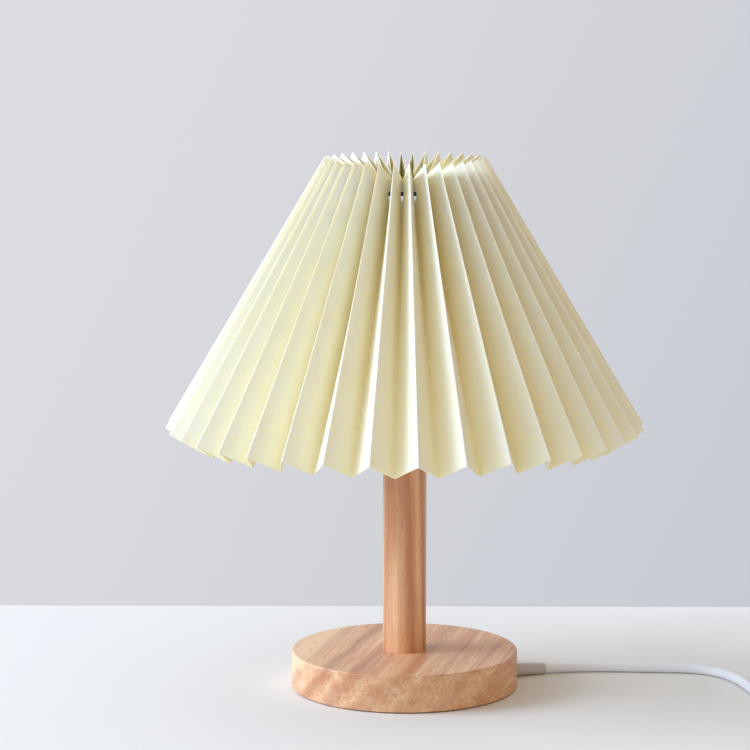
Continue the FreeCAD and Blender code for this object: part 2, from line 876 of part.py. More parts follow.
def frame_legs():
    """Wire legs that run out from the fitter plate, clear of the shade ring, and up to the top ring."""
    radius, height = ring_place()
    level = fitter_top - wire_radius
    legs = []
    for k in range(leg_count):
        path, _ = rounded_path([
            (fitter_radius - wire_radius, 0, level), (leg_foot_radius, 0, level), (radius, 0, height),
        ], leg_bend_radius)
        leg = tube_on(path, wire_radius)
        leg.rotate(vec(0, 0, 0), vec(0, 0, 1), ridge_azimuth(k * pleat_count // leg_count))
        legs.append(leg.cut([top_ring(), fitter_plate()]))
    return Part.makeCompound([piece for leg in legs for piece in leg.Solids])


# ---------------------------------------------------------------- in-line switch
def switch_screw_places():
    return [(switch_screw_x, switch_screw_y), (-switch_screw_x, -switch_screw_y)]


def switch_cord_holes():
    """The cord's way through both ends of the housing."""
    start = vec(-switch_length / 2 - PAST, 0, switch_lower_height)
    return Part.makeCylinder(cord_radius + relief_clearance, switch_length + 2 * PAST, start, vec(1, 0, 0))


def switch_half(low, high, closed_height):
    """One half of the housing, rounded on its closed side and hollow towards the joint."""
    shell = rounded_block(switch_length, switch_width, low, high, switch_corner_radius)
    shell = round_edges_at(shell, closed_height, switch_edge_round)
    inside_low = low + switch_wall if closed_height == low else low - PAST
    inside_high = high + PAST if closed_height == low else high - switch_wall
    hollow = rounded_block(
        switch_length - 2 * switch_cord_grip, switch_width - 2 * switch_wall,
        inside_low, inside_high, switch_corner_radius - switch_wall,
    )
    shell = shell.cut(hollow)
    bosses = [
        cylinder(switch_boss_radius, low + switch_edge_round / 2, high - switch_edge_round / 2, x, y)
        for x, y in switch_screw_places()
    ]
    return shell.fuse(bosses)


def switch_screw_solids(extra):
    """The two screws from below, or the room for them with some extra all round."""
    screws = []
    head_top = switch_head_recess + switch_head_height
    for x, y in switch_screw_places():
        head = cylinder(switch_head_radius + extra, switch_head_recess - extra, head_top, x, y)
        shank = cylinder(switch_screw_radius + extra, head_top, switch_screw_end + extra, x, y)
        screws.append(head.fuse(shank).removeSplitter())
    return screws


def switch_lower_housing():
    shell = switch_half(0, switch_lower_height, 0)
    tools = [switch_cord_holes()]
    head_top = switch_head_recess + switch_head_height
    for x, y in switch_screw_places():
        tools.append(cylinder(switch_head_radius + relief_clearance, -PAST, head_top, x, y))
        tools.append(cylinder(switch_screw_radius + relief_clearance, 0, switch_lower_height + PAST, x, y))
    lower = shell.cut(tools)
    cap = box(-FAR, FAR, -FAR, FAR, switch_lower_height, FAR)
    return placed(lower.cut(cap), switch_centre, switch_heading)


def switch_upper_housing():
    shell = switch_half(switch_lower_height, switch_height, switch_height)
    half_gap = rocker_width / 2 + rocker_clearance
    roof = switch_height - switch_wall
    cheek_bottom = rocker_pivot_height - cheek_length / 3
    for near, far in ((-half_gap - cheek_thickness, -half_gap), (half_gap, half_gap + cheek_thickness)):
        shell = shell.fuse(box(-cheek_length / 2, cheek_length / 2, near, far, cheek_bottom, roof))
    half_length = rocker_length / 2 + rocker_clearance * 2
    pivot_length = rocker_width + 2 * (rocker_clearance + trunnion_length)
    tools = [
        switch_cord_holes(),
        box(-half_length, half_length, -half_gap, half_gap, switch_lower_height - PAST, switch_height + PAST),
        Part.makeCylinder(trunnion_radius + trunnion_clearance, pivot_length,
                          vec(0, -pivot_length / 2, rocker_pivot_height), vec(0, 1, 0)),
    ]
    tools += switch_screw_solids(relief_clearance)
    under = box(-FAR, FAR, -FAR, FAR, -FAR, switch_lower_height)
    return placed(shell.cut(tools + [under]), switch_centre, switch_heading)


def switch_rocker():
    """Rocker with a dished top, trunnions and a foot, tipped to the end of its travel."""
    half = rocker_length / 2
    outline = [
        (-half, rocker_skirt), (-half, rocker_end_rise), (0, rocker_middle_rise),
        (half, rocker_end_rise), (half, rocker_skirt),
        (rocker_foot_width / 2, -rocker_foot_depth), (-rocker_foot_width / 2, -rocker_foot_depth),
    ]
    corners = [vec(x, -rocker_width / 2, z) for x, z in outline]
    body = Part.Face(Part.makePolygon(corners + corners[:1])).extrude(vec(0, rocker_width, 0))
    pivot_length = rocker_width + 2 * (rocker_clearance + trunnion_length) - 2 * trunnion_clearance
    pivot = Part.makeCylinder(trunnion_radius, pivot_length, vec(0, -pivot_length / 2, 0), vec(0, 1, 0))
    rocker = body.fuse(pivot).removeSplitter()
    rocker.rotate(vec(0, 0, 0), vec(0, 1, 0), -rocker_half_travel)
    rocker.translate(vec(0, 0, rocker_pivot_height))
    return placed(rocker, switch_centre, switch_heading)


def switch_contacts():
    """Two brass strips on the floor of the lower housing, one for each side of the gap."""
    strips = []
    half = switch_contact_width / 2
    strip_top = switch_wall + switch_contact_thickness
    for start in (-rocker_foot_width - switch_contact_length, rocker_foot_width):
        strips.append(box(start, start + switch_contact_length, -half, half, switch_wall, strip_top))
    return placed(Part.makeCompound(strips), switch_centre, switch_heading)


# ---------------------------------------------------------------- plug
def pin_places():
    return (-pin_spacing / 2, pin_spacing / 2)


def along_plug(radius, start, end, y):
    """A cylinder along the plug, at the height of its pins."""
    return Part.makeCylinder(radius, end - start, vec(start, y, plug_height / 2), vec(1, 0, 0))


def plug_body():
    """Flat plug that narrows to the cord, with its tapered sleeve, rear end at the origin, along +X."""
    relief = plug_relief_length
    front = relief + plug_length
    half = plug_width / 2
    tail = plug_tail_width / 2
    outline = [
        (relief, -tail), (relief + plug_shoulder, -half), (front, -half),
        (front, half), (relief + plug_shoulder, half), (relief, tail),
    ]
    block = prism(outline, 0, plug_height)
    level = plug_height / 2
    long_edges = [e for e in block.Edges if e.BoundBox.ZLength < 1e-6 and e.BoundBox.XLength > 1e-6]
    block = block.makeFillet(plug_edge_round, long_edges)
    sleeve = Part.makeCone(
        plug_relief_tip_radius, plug_relief_radius, relief + PAST, vec(0, 0, level), vec(1, 0, 0),
    )
    pins = [
        along_plug(pin_core_radius + relief_clearance, front - pin_root, front + PAST, y)
        for y in pin_places()
    ]
    bore = along_plug(cord_radius + relief_clearance, -PAST, relief - PAST, 0)
    return block.fuse(sleeve).cut(pins + [bore])


def plug_pins():
    """Round pins with a narrower core where the insulating sleeves go."""
    front = plug_relief_length + plug_length
    pins = []
    for y in pin_places():
        core = along_plug(pin_core_radius, front - pin_root, front + pin_sleeve_length, y)
        bare = along_plug(pin_radius, front + pin_sleeve_length, front + pin_length, y)
        tip = [e for e in bare.Edges if e.BoundBox.XMin > front + pin_length - 1e-4]
        pins.append(bare.makeFillet(pin_radius / 2, tip).fuse(core).removeSplitter())
    return Part.makeCompound(pins)


def plug_pin_sleeves():
    front = plug_relief_length + plug_length
    sleeves = []
    for y in pin_places():
        end = front + pin_sleeve_length
        outer = along_plug(pin_radius, front, end, y)
        inner = along_plug(pin_core_radius + thread_clearance, front - PAST, end + PAST, y)
        sleeves.append(outer.cut(inner))
    return Part.makeCompound(sleeves)


# ---------------------------------------------------------------- coil
def swing(turns):
    """Share of the way in from the outer turn, rising and falling steadily, rounded at each reversal."""
    phase = turns % (2 * coil_turns_per_layer)
    ramp = coil_turns_per_layer - abs(coil_turns_per_layer - phase)
    half = coil_climb / 2
    if turns < half:
        return ramp / coil_turns_per_layer
    for reversal, sign in ((coil_turns_per_layer, -1), (0.0, 1), (2 * coil_turns_per_layer, 1)):
        away = phase - reversal
        if abs(away) < half:
            rounded = (away**2 + half**2) / (2 * half)
            level = coil_turns_per_layer if sign < 0 else 0.0
            return (level + sign * rounded) / coil_turns_per_layer
    return ramp / coil_turns_per_layer


def climbed(turns):
    """Layers climbed so far: one in the half turn about each reversal of the spiral."""
    total = 0.0
    for layer in range(1, coil_layers):
        share = (turns - layer * coil_turns_per_layer) / coil_climb + 0.5
        share = min(max(share, 0.0), 1.0)
        total += share * share * (3 - 2 * share)
    return total


def coil_point(turns):
    radius = coil_outer_radius - coil_depth * swing(turns)
    angle = 2 * math.pi * turns
    return vec(
        coil_centre[0] + radius * math.cos(angle),
        coil_centre[1] + radius * math.sin(angle),
        coil_bottom_height + coil_pitch * climbed(turns),
    )


def coil_tangent(turns):
    step = 1e-4
    return (coil_point(turns + step) - coil_point(max(turns - step, 0.0))).normalize()


def arc_through(start, corner, end):
    """The arc from start to end that is tangent to the lines to their common corner."""
    turn = (corner - start).getAngle(end - corner)
    weight = math.cos(turn / 2)
    middle = (start + corner * (2 * weight) + end) * (1 / (2 + 2 * weight))
    return Part.Arc(start, middle, end).toShape()


def biarc(start, start_way, end, end_way):
    """Two arcs that leave start and reach end along the given directions."""
    across = end - start
    ways = start_way + end_way
    bend = 2 * (1 - start_way.dot(end_way))
    lean = across.dot(ways)
    reach = (math.sqrt(lean**2 + bend * across.dot(across)) - lean) / bend
    first_corner = start + start_way * reach
    second_corner = end - end_way * reach
    joint = (first_corner + second_corner) * 0.5
    return [arc_through(start, first_corner, joint), arc_through(joint, second_corner, end)]


def coil_ends():
    """Where the coil's straight ends begin and finish, and the directions along them."""
    way_in = coil_tangent(0.0)
    way_out = coil_tangent(coil_turns)
    return (
        coil_point(0.0) - way_in * cord_diameter, way_in,
        coil_point(coil_turns) + way_out * cord_diameter, way_out,
    )


def cord_coil():
    """The put-away length as one unbroken tube of loops, spiralling in and out in layers."""
    first, _, last, _ = coil_ends()
    edges = [Part.LineSegment(first, coil_point(0.0)).toShape()]
    steps = int(round(coil_turns * 4))
    for i in range(steps):
        here = coil_turns * i / steps
        there = coil_turns * (i + 1) / steps
        edges += biarc(coil_point(here), coil_tangent(here), coil_point(there), coil_tangent(there))
    edges.append(Part.LineSegment(coil_point(coil_turns), last).toShape())
    path = Part.Wire(edges)
    profile = Part.Wire(Part.Circle(first, coil_tangent(0.0), cord_radius).toShape())
    solid = path.makePipeShell([profile], True, False)
    report_cord("cord_coil", path, solid, cord_radius, coil_outer_radius - coil_depth)
    print(f"cord_coil: least gap between turns {least_self_gap():.2f}")
    return solid, path.Length


def least_self_gap():
    """The least distance between turns, less the cord's diameter, over points along the coil."""
    per_turn = 48
    count = int(coil_turns * per_turn)
    points = [coil_point(coil_turns * i / count) for i in range(count + 1)]
    least = FAR
    for i, point in enumerate(points):
        for other in points[i + per_turn // 2:]:
            least = min(least, (other - point).Length)
    return least - cord_diameter


def coil_tie():
    """A flat tie round the bundle of turns."""
    near = coil_outer_radius - coil_depth - cord_radius - tie_clearance
    far = coil_outer_radius + cord_radius + tie_clearance
    low = coil_bottom_height - cord_radius - tie_clearance
    high = coil_bottom_height + coil_pitch * (coil_layers - 1) + cord_radius + tie_clearance
    outer = box(
        near - tie_thickness, far + tie_thickness, -tie_width / 2, tie_width / 2,
        low - tie_thickness, high + tie_thickness,
    )
    inner = box(near, far, -tie_width, tie_width, low, high)
    along = [e for e in outer.Edges if e.BoundBox.YLength > tie_width / 2]
    outer = outer.makeFillet(cord_radius + tie_thickness, along)
    along = [e for e in inner.Edges if e.BoundBox.YLength > tie_width / 2]
    inner = inner.makeFillet(cord_radius, along)
    return placed(outer.cut(inner), coil_centre, tie_azimuth)


# ---------------------------------------------------------------- the whole lamp
def cord_runs():
    """The ends of the free stretches, worked out from the pieces that they join."""
    tip = base_radius + relief_tip_reach
    leaving = place_of((tip, 0, relief_height(tip)), (0, 0), exit_azimuth)
    grip = switch_length / 2 - switch_cord_grip / 2
    into_switch = place_of((-grip, 0, switch_lower_height), switch_centre, switch_heading)
    straight = switch_length / 2 + switch_straight
    before_switch = place_of((-straight, 0, switch_lower_height), switch_centre, switch_heading)
    out_of_switch = place_of((grip, 0, switch_lower_height), switch_centre, switch_heading)
    after_switch = place_of((straight, 0, switch_lower_height), switch_centre, switch_heading)
    first, way_in, last, way_out = coil_ends()
    before_coil = first - way_in * coil_straight
    after_coil = last + way_out * coil_straight
    plug_entry = (plug_rear[0], plug_rear[1] - plug_straight, plug_height / 2)
    plug_mouth = (plug_rear[0], plug_rear[1] + plug_straight, plug_height / 2)
    return (
        [leaving] + cord_to_switch + [before_switch, into_switch],
        [out_of_switch, after_switch, tuple(before_coil), tuple(first)],
        [tuple(last), tuple(after_coil)] + cord_to_plug + [plug_mouth, plug_entry],
    )


def main():
    os.makedirs(PARTS_FOLDER, exist_ok=True)

    save("base_disc", base_disc())
    save("base_pad", base_pad())
    save("stem", stem())
    save("threaded_tube", threaded_tube())
    save("base_washer", ring(tube_hole_radius, base_washer_radius, base_nut_top, base_cavity_top))
    save("base_nut", hex_nut(base_nut_top - nut_height, tube_radius + thread_clearance))
    save("stem_washer", ring(tube_hole_radius, stem_radius - stem_edge_round, stem_top, stem_nut_bottom))
    save("stem_nut", hex_nut(stem_nut_bottom, tube_radius + thread_clearance))
    save("cord_clamp", cord_clamp())
    save("clamp_screws", clamp_screws())
    save("strain_relief", strain_relief())
    inner, inner_length = inner_cord()
    save("inner_cord", inner)
    save("live_lead", lead(1))
    save("neutral_lead", lead(-1))

    save("holder_cap", holder_cap())
    save("holder_shell", holder_shell())
    save("terminal_block", terminal_block())
    save("terminal_screws", terminal_screws())
    save("centre_contact", centre_contact())
    save("side_contact", side_contact())
    save("shade_ring", shade_ring())

    for node, shape in bulb_pieces().items():
        save(node, shape)

    save("fitter_plate", fitter_plate())
    save("frame_legs", frame_legs())
    save("top_ring", top_ring())
    save("pleated_shade", pleated_shade())

    save("switch_lower_housing", switch_lower_housing())
    save("switch_upper_housing", switch_upper_housing())
    save("switch_rocker", switch_rocker())
    save("switch_contacts", switch_contacts())
    save("switch_screws", placed(Part.makeCompound(switch_screw_solids(0.0)), switch_centre, switch_heading))

    to_switch, to_coil, to_plug = cord_runs()
    length = inner_length
    length += free_cord("mains_cord", to_switch)
    length += free_cord("cord_tail", to_coil)
    coil, coil_length = cord_coil()
    save("cord_coil", coil)
    length += coil_length
    save("coil_tie", coil_tie())
    length += free_cord("plug_lead", to_plug)
    length += switch_length - switch_cord_grip
    print(f"cord from the base's clamp to the plug: {length:.0f}")

    save("plug_body", placed(plug_body(), plug_rear, -90))
    save("plug_pins", placed(plug_pins(), plug_rear, -90))
    save("plug_pin_sleeves", placed(plug_pin_sleeves(), plug_rear, -90))


main()
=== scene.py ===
"""Looks of the pleated paper table lamp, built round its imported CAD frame. Metres throughout."""
import math
from collections import namedtuple

import bmesh
import bpy
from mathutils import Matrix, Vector


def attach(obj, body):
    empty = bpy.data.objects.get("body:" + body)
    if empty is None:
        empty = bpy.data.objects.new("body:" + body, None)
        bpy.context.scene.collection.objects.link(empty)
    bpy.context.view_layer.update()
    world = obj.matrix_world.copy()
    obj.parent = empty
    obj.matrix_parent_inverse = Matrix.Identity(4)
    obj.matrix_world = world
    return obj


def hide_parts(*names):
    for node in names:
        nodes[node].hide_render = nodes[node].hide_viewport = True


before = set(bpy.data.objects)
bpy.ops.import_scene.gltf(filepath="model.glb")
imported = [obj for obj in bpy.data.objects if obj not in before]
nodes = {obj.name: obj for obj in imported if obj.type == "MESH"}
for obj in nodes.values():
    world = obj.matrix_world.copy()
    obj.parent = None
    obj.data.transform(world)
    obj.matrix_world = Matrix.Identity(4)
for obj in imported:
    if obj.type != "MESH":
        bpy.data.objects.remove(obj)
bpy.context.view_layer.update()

# ---------------------------------------------------------------- camera
camera_place = (0.0, -1.600, 0.4108)
camera_tilt_down = 0.151
camera_turn = 0.0098
camera_lens = 147.8

camera_data = bpy.data.cameras.new("camera")
camera_data.lens = camera_lens
camera = bpy.data.objects.new("camera", camera_data)
camera.location = camera_place
camera.rotation_euler = (math.pi / 2 - camera_tilt_down, 0, camera_turn)
bpy.context.scene.collection.objects.link(camera)
bpy.context.scene.camera = camera
bpy.context.scene.view_settings.view_transform = "Standard"


# ---------------------------------------------------------------- nodes
def fill(tree, node, inputs):
    """Give a node's inputs, by name or number, each a value or another node's output."""
    for name, value in inputs.items():
        if isinstance(value, bpy.types.NodeSocket):
            tree.links.new(value, node.inputs[name])
        else:
            node.inputs[name].default_value = value


def add(tree, kind, inputs=None, **settings):
    """A new node with its settings and inputs."""
    made = tree.nodes.new(kind)
    for name, value in settings.items():
        setattr(made, name, value)
    fill(tree, made, inputs or {})
    return made


def math_node(tree, operation, first, second=0.0):
    return add(tree, "ShaderNodeMath", {0: first, 1: second}, operation=operation).outputs[0]


def vector_node(tree, operation, first, second=(0, 0, 0)):
    made = add(tree, "ShaderNodeVectorMath", {0: first, 1: second}, operation=operation)
    return made.outputs["Value" if operation == "DOT_PRODUCT" else "Vector"]


def scaled(tree, vector, amount):
    return add(tree, "ShaderNodeVectorMath", {0: vector, "Scale": amount}, operation="SCALE").outputs["Vector"]


def joined_axes(tree, along_x, along_y, along_z=0.0):
    return add(tree, "ShaderNodeCombineXYZ", {"X": along_x, "Y": along_y, "Z": along_z}).outputs[0]


def remap(tree, value, low, high, new_low=0.0, new_high=1.0):
    """A value's range mapped onto another, and held inside it."""
    inputs = {"Value": value, "From Min": low, "From Max": high, "To Min": new_low, "To Max": new_high}
    return add(tree, "ShaderNodeMapRange", inputs).outputs["Result"]


def mixed(tree, factor, first, second):
    """Two colours mixed by a factor."""
    return add(tree, "ShaderNodeMix", {0: factor, 6: first, 7: second}, data_type="RGBA").outputs[2]


def between(tree, factor, first, second):
    """Two vectors mixed by a factor."""
    return add(tree, "ShaderNodeMix", {0: factor, 4: first, 5: second}, data_type="VECTOR").outputs[1]


def stretched_noise(tree, place, stretch, scale, detail, roughness=0.5):
    """Noise drawn out along X."""
    drawn = add(tree, "ShaderNodeMapping", {"Vector": place, "Scale": (stretch, 1, 1)}).outputs[0]
    return add(tree, "ShaderNodeTexNoise", {
        "Vector": drawn, "Scale": scale, "Detail": detail, "Roughness": roughness}).outputs[0]


def colour(red, green, blue):
    """A colour given as 0 to 255 screen values."""
    def linear(value):
        share = value / 255
        return share / 12.92 if share <= 0.04045 else ((share + 0.055) / 1.055) ** 2.4
    return (linear(red), linear(green), linear(blue), 1.0)


def new_tree(tree_kind, name, inputs, outputs):
    """An empty node group with named inputs, as (name, kind, value), and outputs, as (name, kind)."""
    tree = bpy.data.node_groups.new(name, tree_kind)
    for socket_name, kind, value in inputs:
        socket = tree.interface.new_socket(socket_name, in_out="INPUT", socket_type=kind)
        if value is not None:
            socket.default_value = value
    for socket_name, kind in outputs:
        tree.interface.new_socket(socket_name, in_out="OUTPUT", socket_type=kind)
    return tree, tree.nodes.new("NodeGroupInput").outputs, tree.nodes.new("NodeGroupOutput")


def finish_tree(tree, sink, results):
    fill(tree, sink, results)
    return tree


def placed(tree, group, inputs):
    """A node group's outputs, placed in a tree of its own kind."""
    kind = "ShaderNodeGroup" if tree.bl_idname == "ShaderNodeTree" else "GeometryNodeGroup"
    return add(tree, kind, inputs, node_tree=group).outputs


# ---------------------------------------------------------------- shared patterns
def timber_pattern():
    """Growth rings, fibres and pores of a plank. X runs along the grain and Z across the rings."""
    tree, given, sink = new_tree("ShaderNodeTree", "timber_pattern", [
        ("Vector", "NodeSocketVector", None),
        ("Ring Start", "NodeSocketFloat", 0.0),
        ("Ring Width", "NodeSocketFloat", 0.006),
        ("Ring Waver", "NodeSocketFloat", 0.006),
        ("Waver Size", "NodeSocketFloat", 14.0),
        ("Fibre Scale", "NodeSocketFloat", 900.0),
    ], [("Rings", "NodeSocketFloat"), ("Streaks", "NodeSocketFloat"), ("Fibres", "NodeSocketFloat"),
        ("Pores", "NodeSocketFloat")])
    waver = stretched_noise(tree, given["Vector"], 0.22, given["Waver Size"], 2.0, 0.45)
    across = add(tree, "ShaderNodeSeparateXYZ", {"Vector": given["Vector"]}).outputs["Z"]
    shift = math_node(tree, "MULTIPLY", math_node(tree, "SUBTRACT", waver, 0.5), given["Ring Waver"])
    reached = math_node(tree, "SUBTRACT", math_node(tree, "ADD", across, shift), given["Ring Start"])
    turns = math_node(tree, "DIVIDE", reached, given["Ring Width"])
    wave = math_node(tree, "SINE", math_node(tree, "MULTIPLY", turns, 2 * math.pi))
    rings = remap(tree, wave, -1.0, 1.0)
    streaks = stretched_noise(tree, given["Vector"], 0.045, 240.0, 3.0, 0.6)
    fibres = stretched_noise(tree, given["Vector"], 0.03, given["Fibre Scale"], 2.0, 0.6)
    pores = stretched_noise(tree, given["Vector"], 0.12, 1500.0, 0.0)
    return finish_tree(tree, sink, {
        "Rings": rings, "Streaks": streaks, "Fibres": fibres, "Pores": remap(tree, pores, 0.66, 0.74)})


def fine_mottle():
    """Slight unevenness of a moulded, coated or pressed surface."""
    tree, given, sink = new_tree("ShaderNodeTree", "fine_mottle", [
        ("Vector", "NodeSocketVector", None),
        ("Grain Scale", "NodeSocketFloat", 1800.0),
        ("Cloud Scale", "NodeSocketFloat", 60.0),
        ("Rough Low", "NodeSocketFloat", 0.35),
        ("Rough High", "NodeSocketFloat", 0.5),
    ], [("Grain", "NodeSocketFloat"), ("Cloud", "NodeSocketFloat"), ("Roughness", "NodeSocketFloat")])
    grain = add(tree, "ShaderNodeTexNoise", {
        "Vector": given["Vector"], "Scale": given["Grain Scale"], "Detail": 2.0}).outputs[0]
    cloud = add(tree, "ShaderNodeTexNoise", {
        "Vector": given["Vector"], "Scale": given["Cloud Scale"], "Detail": 3.0}).outputs[0]
    both = math_node(tree, "MULTIPLY", math_node(tree, "ADD", grain, cloud), 0.5)
    rough = remap(tree, both, 0.35, 0.65, given["Rough Low"], given["Rough High"])
    return finish_tree(tree, sink, {"Grain": grain, "Cloud": cloud, "Roughness": rough})


def paper_fibres():
    """Felted fibres of paper, the slanting laid lines pressed into it, and its clouds."""
    tree, given, sink = new_tree("ShaderNodeTree", "paper_fibres", [
        ("Vector", "NodeSocketVector", None),
        ("Line Scale", "NodeSocketFloat", 420.0),
        ("Line Slant", "NodeSocketFloat", 0.9),
    ], [("Laid", "NodeSocketFloat"), ("Fibres", "NodeSocketFloat"), ("Cloud", "NodeSocketFloat")])
    turned = add(tree, "ShaderNodeVectorRotate", {
        "Vector": given["Vector"], "Axis": (0, 0, 1), "Angle": given["Line Slant"]}).outputs[0]
    laid = add(tree, "ShaderNodeTexWave", {
        "Vector": turned, "Scale": given["Line Scale"], "Distortion": 1.5, "Detail": 2.0,
        "Detail Scale": 1.5}, wave_type="BANDS", bands_direction="Y").outputs["Fac"]
    fibres = stretched_noise(tree, turned, 0.25, 1600.0, 3.0, 0.6)
    cloud = add(tree, "ShaderNodeTexNoise", {
        "Vector": given["Vector"], "Scale": 35.0, "Detail": 3.0}).outputs[0]
    return finish_tree(tree, sink, {"Laid": laid, "Fibres": fibres, "Cloud": cloud})


TIMBER = timber_pattern()
MOTTLE = fine_mottle()
PAPER = paper_fibres()


# ---------------------------------------------------------------- materials
def new_material(name, **shader):
    """A material with the shader's own values, given by the socket's name with _ for a space."""
    made = bpy.data.materials.new(name)
    made.use_nodes = True
    tree = made.node_tree
    principled = tree.nodes["Principled BSDF"]
    for key, value in shader.items():
        principled.inputs[key.replace("_", " ")].default_value = value
    place = tree.nodes.new("ShaderNodeTexCoord").outputs["Object"]
    return made, tree, principled, place


def raise_surface(tree, principled, height, distance, strength=1.0):
    bump = add(tree, "ShaderNodeBump", {"Height": height, "Distance": distance, "Strength": strength})
    tree.links.new(bump.outputs[0], principled.inputs["Normal"])


def dotted(tree, place, direction):
    """How far a place lies along a direction."""
    return vector_node(tree, "DOT_PRODUCT", place, direction)


def wood(name, along, across, ring_start, ring_width, waver, figure, pale, mid, deep, sapwood_from=None):
    """Clear-finished pale hardwood. along is the way of the grain, across the way out through its rings.

    figure is how strongly the rings show at one side and the other, as (place, share, place, share)."""
    made, tree, principled, place = new_material(name, Coat_Weight=0.18, Coat_Roughness=0.22)
    across = Vector(across).normalized()
    along = (Vector(along) - across * Vector(along).dot(across)).normalized()
    out = dotted(tree, place, across)
    plank = joined_axes(tree, dotted(tree, place, along), dotted(tree, place, across.cross(along)), out)
    pattern = placed(tree, TIMBER, {
        "Vector": plank, "Ring Start": ring_start, "Ring Width": ring_width, "Ring Waver": waver})
    base = mixed(tree, remap(tree, pattern["Streaks"], 0.34, 0.68), mid, pale)
    ring_share = remap(tree, out, figure[0], figure[2], figure[1], figure[3])
    base = mixed(tree, math_node(tree, "MULTIPLY", pattern["Rings"], ring_share), base, deep)
    base = mixed(tree, remap(tree, pattern["Fibres"], 0.4, 0.7, 0.0, 0.3), base, deep)
    if sapwood_from is not None:
        soft = 0.004
        reached = math_node(tree, "ADD", out, remap(tree, pattern["Streaks"], 0.3, 0.7, -soft, soft))
        paler = tuple(min(1.0, value * 1.12) for value in pale[:3]) + (1.0,)
        sapwood = remap(tree, reached, sapwood_from + soft, sapwood_from - soft, 0.0, 0.75)
        base = mixed(tree, sapwood, base, paler)
    base = mixed(tree, math_node(tree, "MULTIPLY", pattern["Pores"], 0.35), base, deep)
    tree.links.new(base, principled.inputs["Base Color"])
    tree.links.new(remap(tree, pattern["Fibres"], 0.35, 0.7, 0.4, 0.56), principled.inputs["Roughness"])
    height = math_node(tree, "SUBTRACT", pattern["Fibres"], pattern["Pores"])
    raise_surface(tree, principled, height, 0.00005, 0.5)
    return made


def paper():
    """Matt cream paper that lets warm light through, with a painted highlight along its ridges and painted warm shade
    in its valleys, strongest towards the top.
    """
    made, tree, principled, _ = new_material(
        "pleated_paper", Subsurface_Weight=0.7, Subsurface_Radius=(1.0, 0.82, 0.4),
        Subsurface_Scale=0.0009, Specular_IOR_Level=0.25)
    sheet = add(tree, "ShaderNodeUVMap", uv_map="sheet").outputs[0]
    from_ridge = add(tree, "ShaderNodeAttribute", attribute_name="from_ridge").outputs["Fac"]
    pattern = placed(tree, PAPER, {"Vector": sheet})
    tone = mixed(tree, remap(tree, pattern["Cloud"], 0.35, 0.65), colour(250, 244, 218), colour(252, 247, 225))
    tone = mixed(tree, remap(tree, pattern["Fibres"], 0.45, 0.75, 0.0, 0.3), tone, colour(244, 236, 208))
    tone = mixed(tree, remap(tree, pattern["Laid"], 0.2, 0.9, 0.0, 0.12), tone, colour(240, 232, 204))
    up = add(tree, "ShaderNodeSeparateXYZ", {"Vector": sheet}).outputs["Y"]
    # Painted shade: yellower deep in the valleys and more so towards the top, standing for warm light passed through
    # and bounced between the folds.
    deep = math_node(tree, "MULTIPLY", remap(tree, from_ridge, 0.2, 1.0), remap(tree, up, 0.0, 0.13, 0.45, 0.95))
    tone = mixed(tree, deep, tone, colour(247, 230, 176))
    # Painted highlight: paler along the ridge folds, where the folds catch the light.
    tone = mixed(tree, remap(tree, from_ridge, 0.05, 0.015, 0.0, 0.8), tone, colour(254, 252, 244))
    tree.links.new(tone, principled.inputs["Base Color"])
    tree.links.new(remap(tree, pattern["Fibres"], 0.3, 0.7, 0.72, 0.9), principled.inputs["Roughness"])
    height = math_node(tree, "ADD", pattern["Laid"], pattern["Fibres"])
    raise_surface(tree, principled, height, 0.00006, 0.4)
    return made


def moulded(name, tone, shade, rough=(0.32, 0.45), grain_scale=2200.0, depth=0.00002, **shader):
    """Moulded plastic, rubber, ceramic or enamel with a faint grain."""
    made, tree, principled, place = new_material(name, **shader)
    pattern = placed(tree, MOTTLE, {
        "Vector": place, "Grain Scale": grain_scale, "Rough Low": rough[0], "Rough High": rough[1]})
    tree.links.new(mixed(tree, remap(tree, pattern["Cloud"], 0.3, 0.7), tone, shade), principled.inputs["Base Color"])
    tree.links.new(pattern["Roughness"], principled.inputs["Roughness"])
    raise_surface(tree, principled, pattern["Grain"], depth)
    return made


def metal(name, tone, shade, rough=(0.22, 0.38), stretch=(1, 1, 14)):
    """Drawn or plated metal with fine marks along one direction."""
    made, tree, principled, place = new_material(name, Metallic=1.0)
    drawn = add(tree, "ShaderNodeMapping", {"Vector": place, "Scale": stretch}).outputs[0]
    pattern = placed(tree, MOTTLE, {
        "Vector": drawn, "Grain Scale": 1200.0, "Rough Low": rough[0], "Rough High": rough[1]})
    tree.links.new(mixed(tree, pattern["Cloud"], tone, shade), principled.inputs["Base Color"])
    tree.links.new(pattern["Roughness"], principled.inputs["Roughness"])
    raise_surface(tree, principled, pattern["Grain"], 0.00001)
    return made


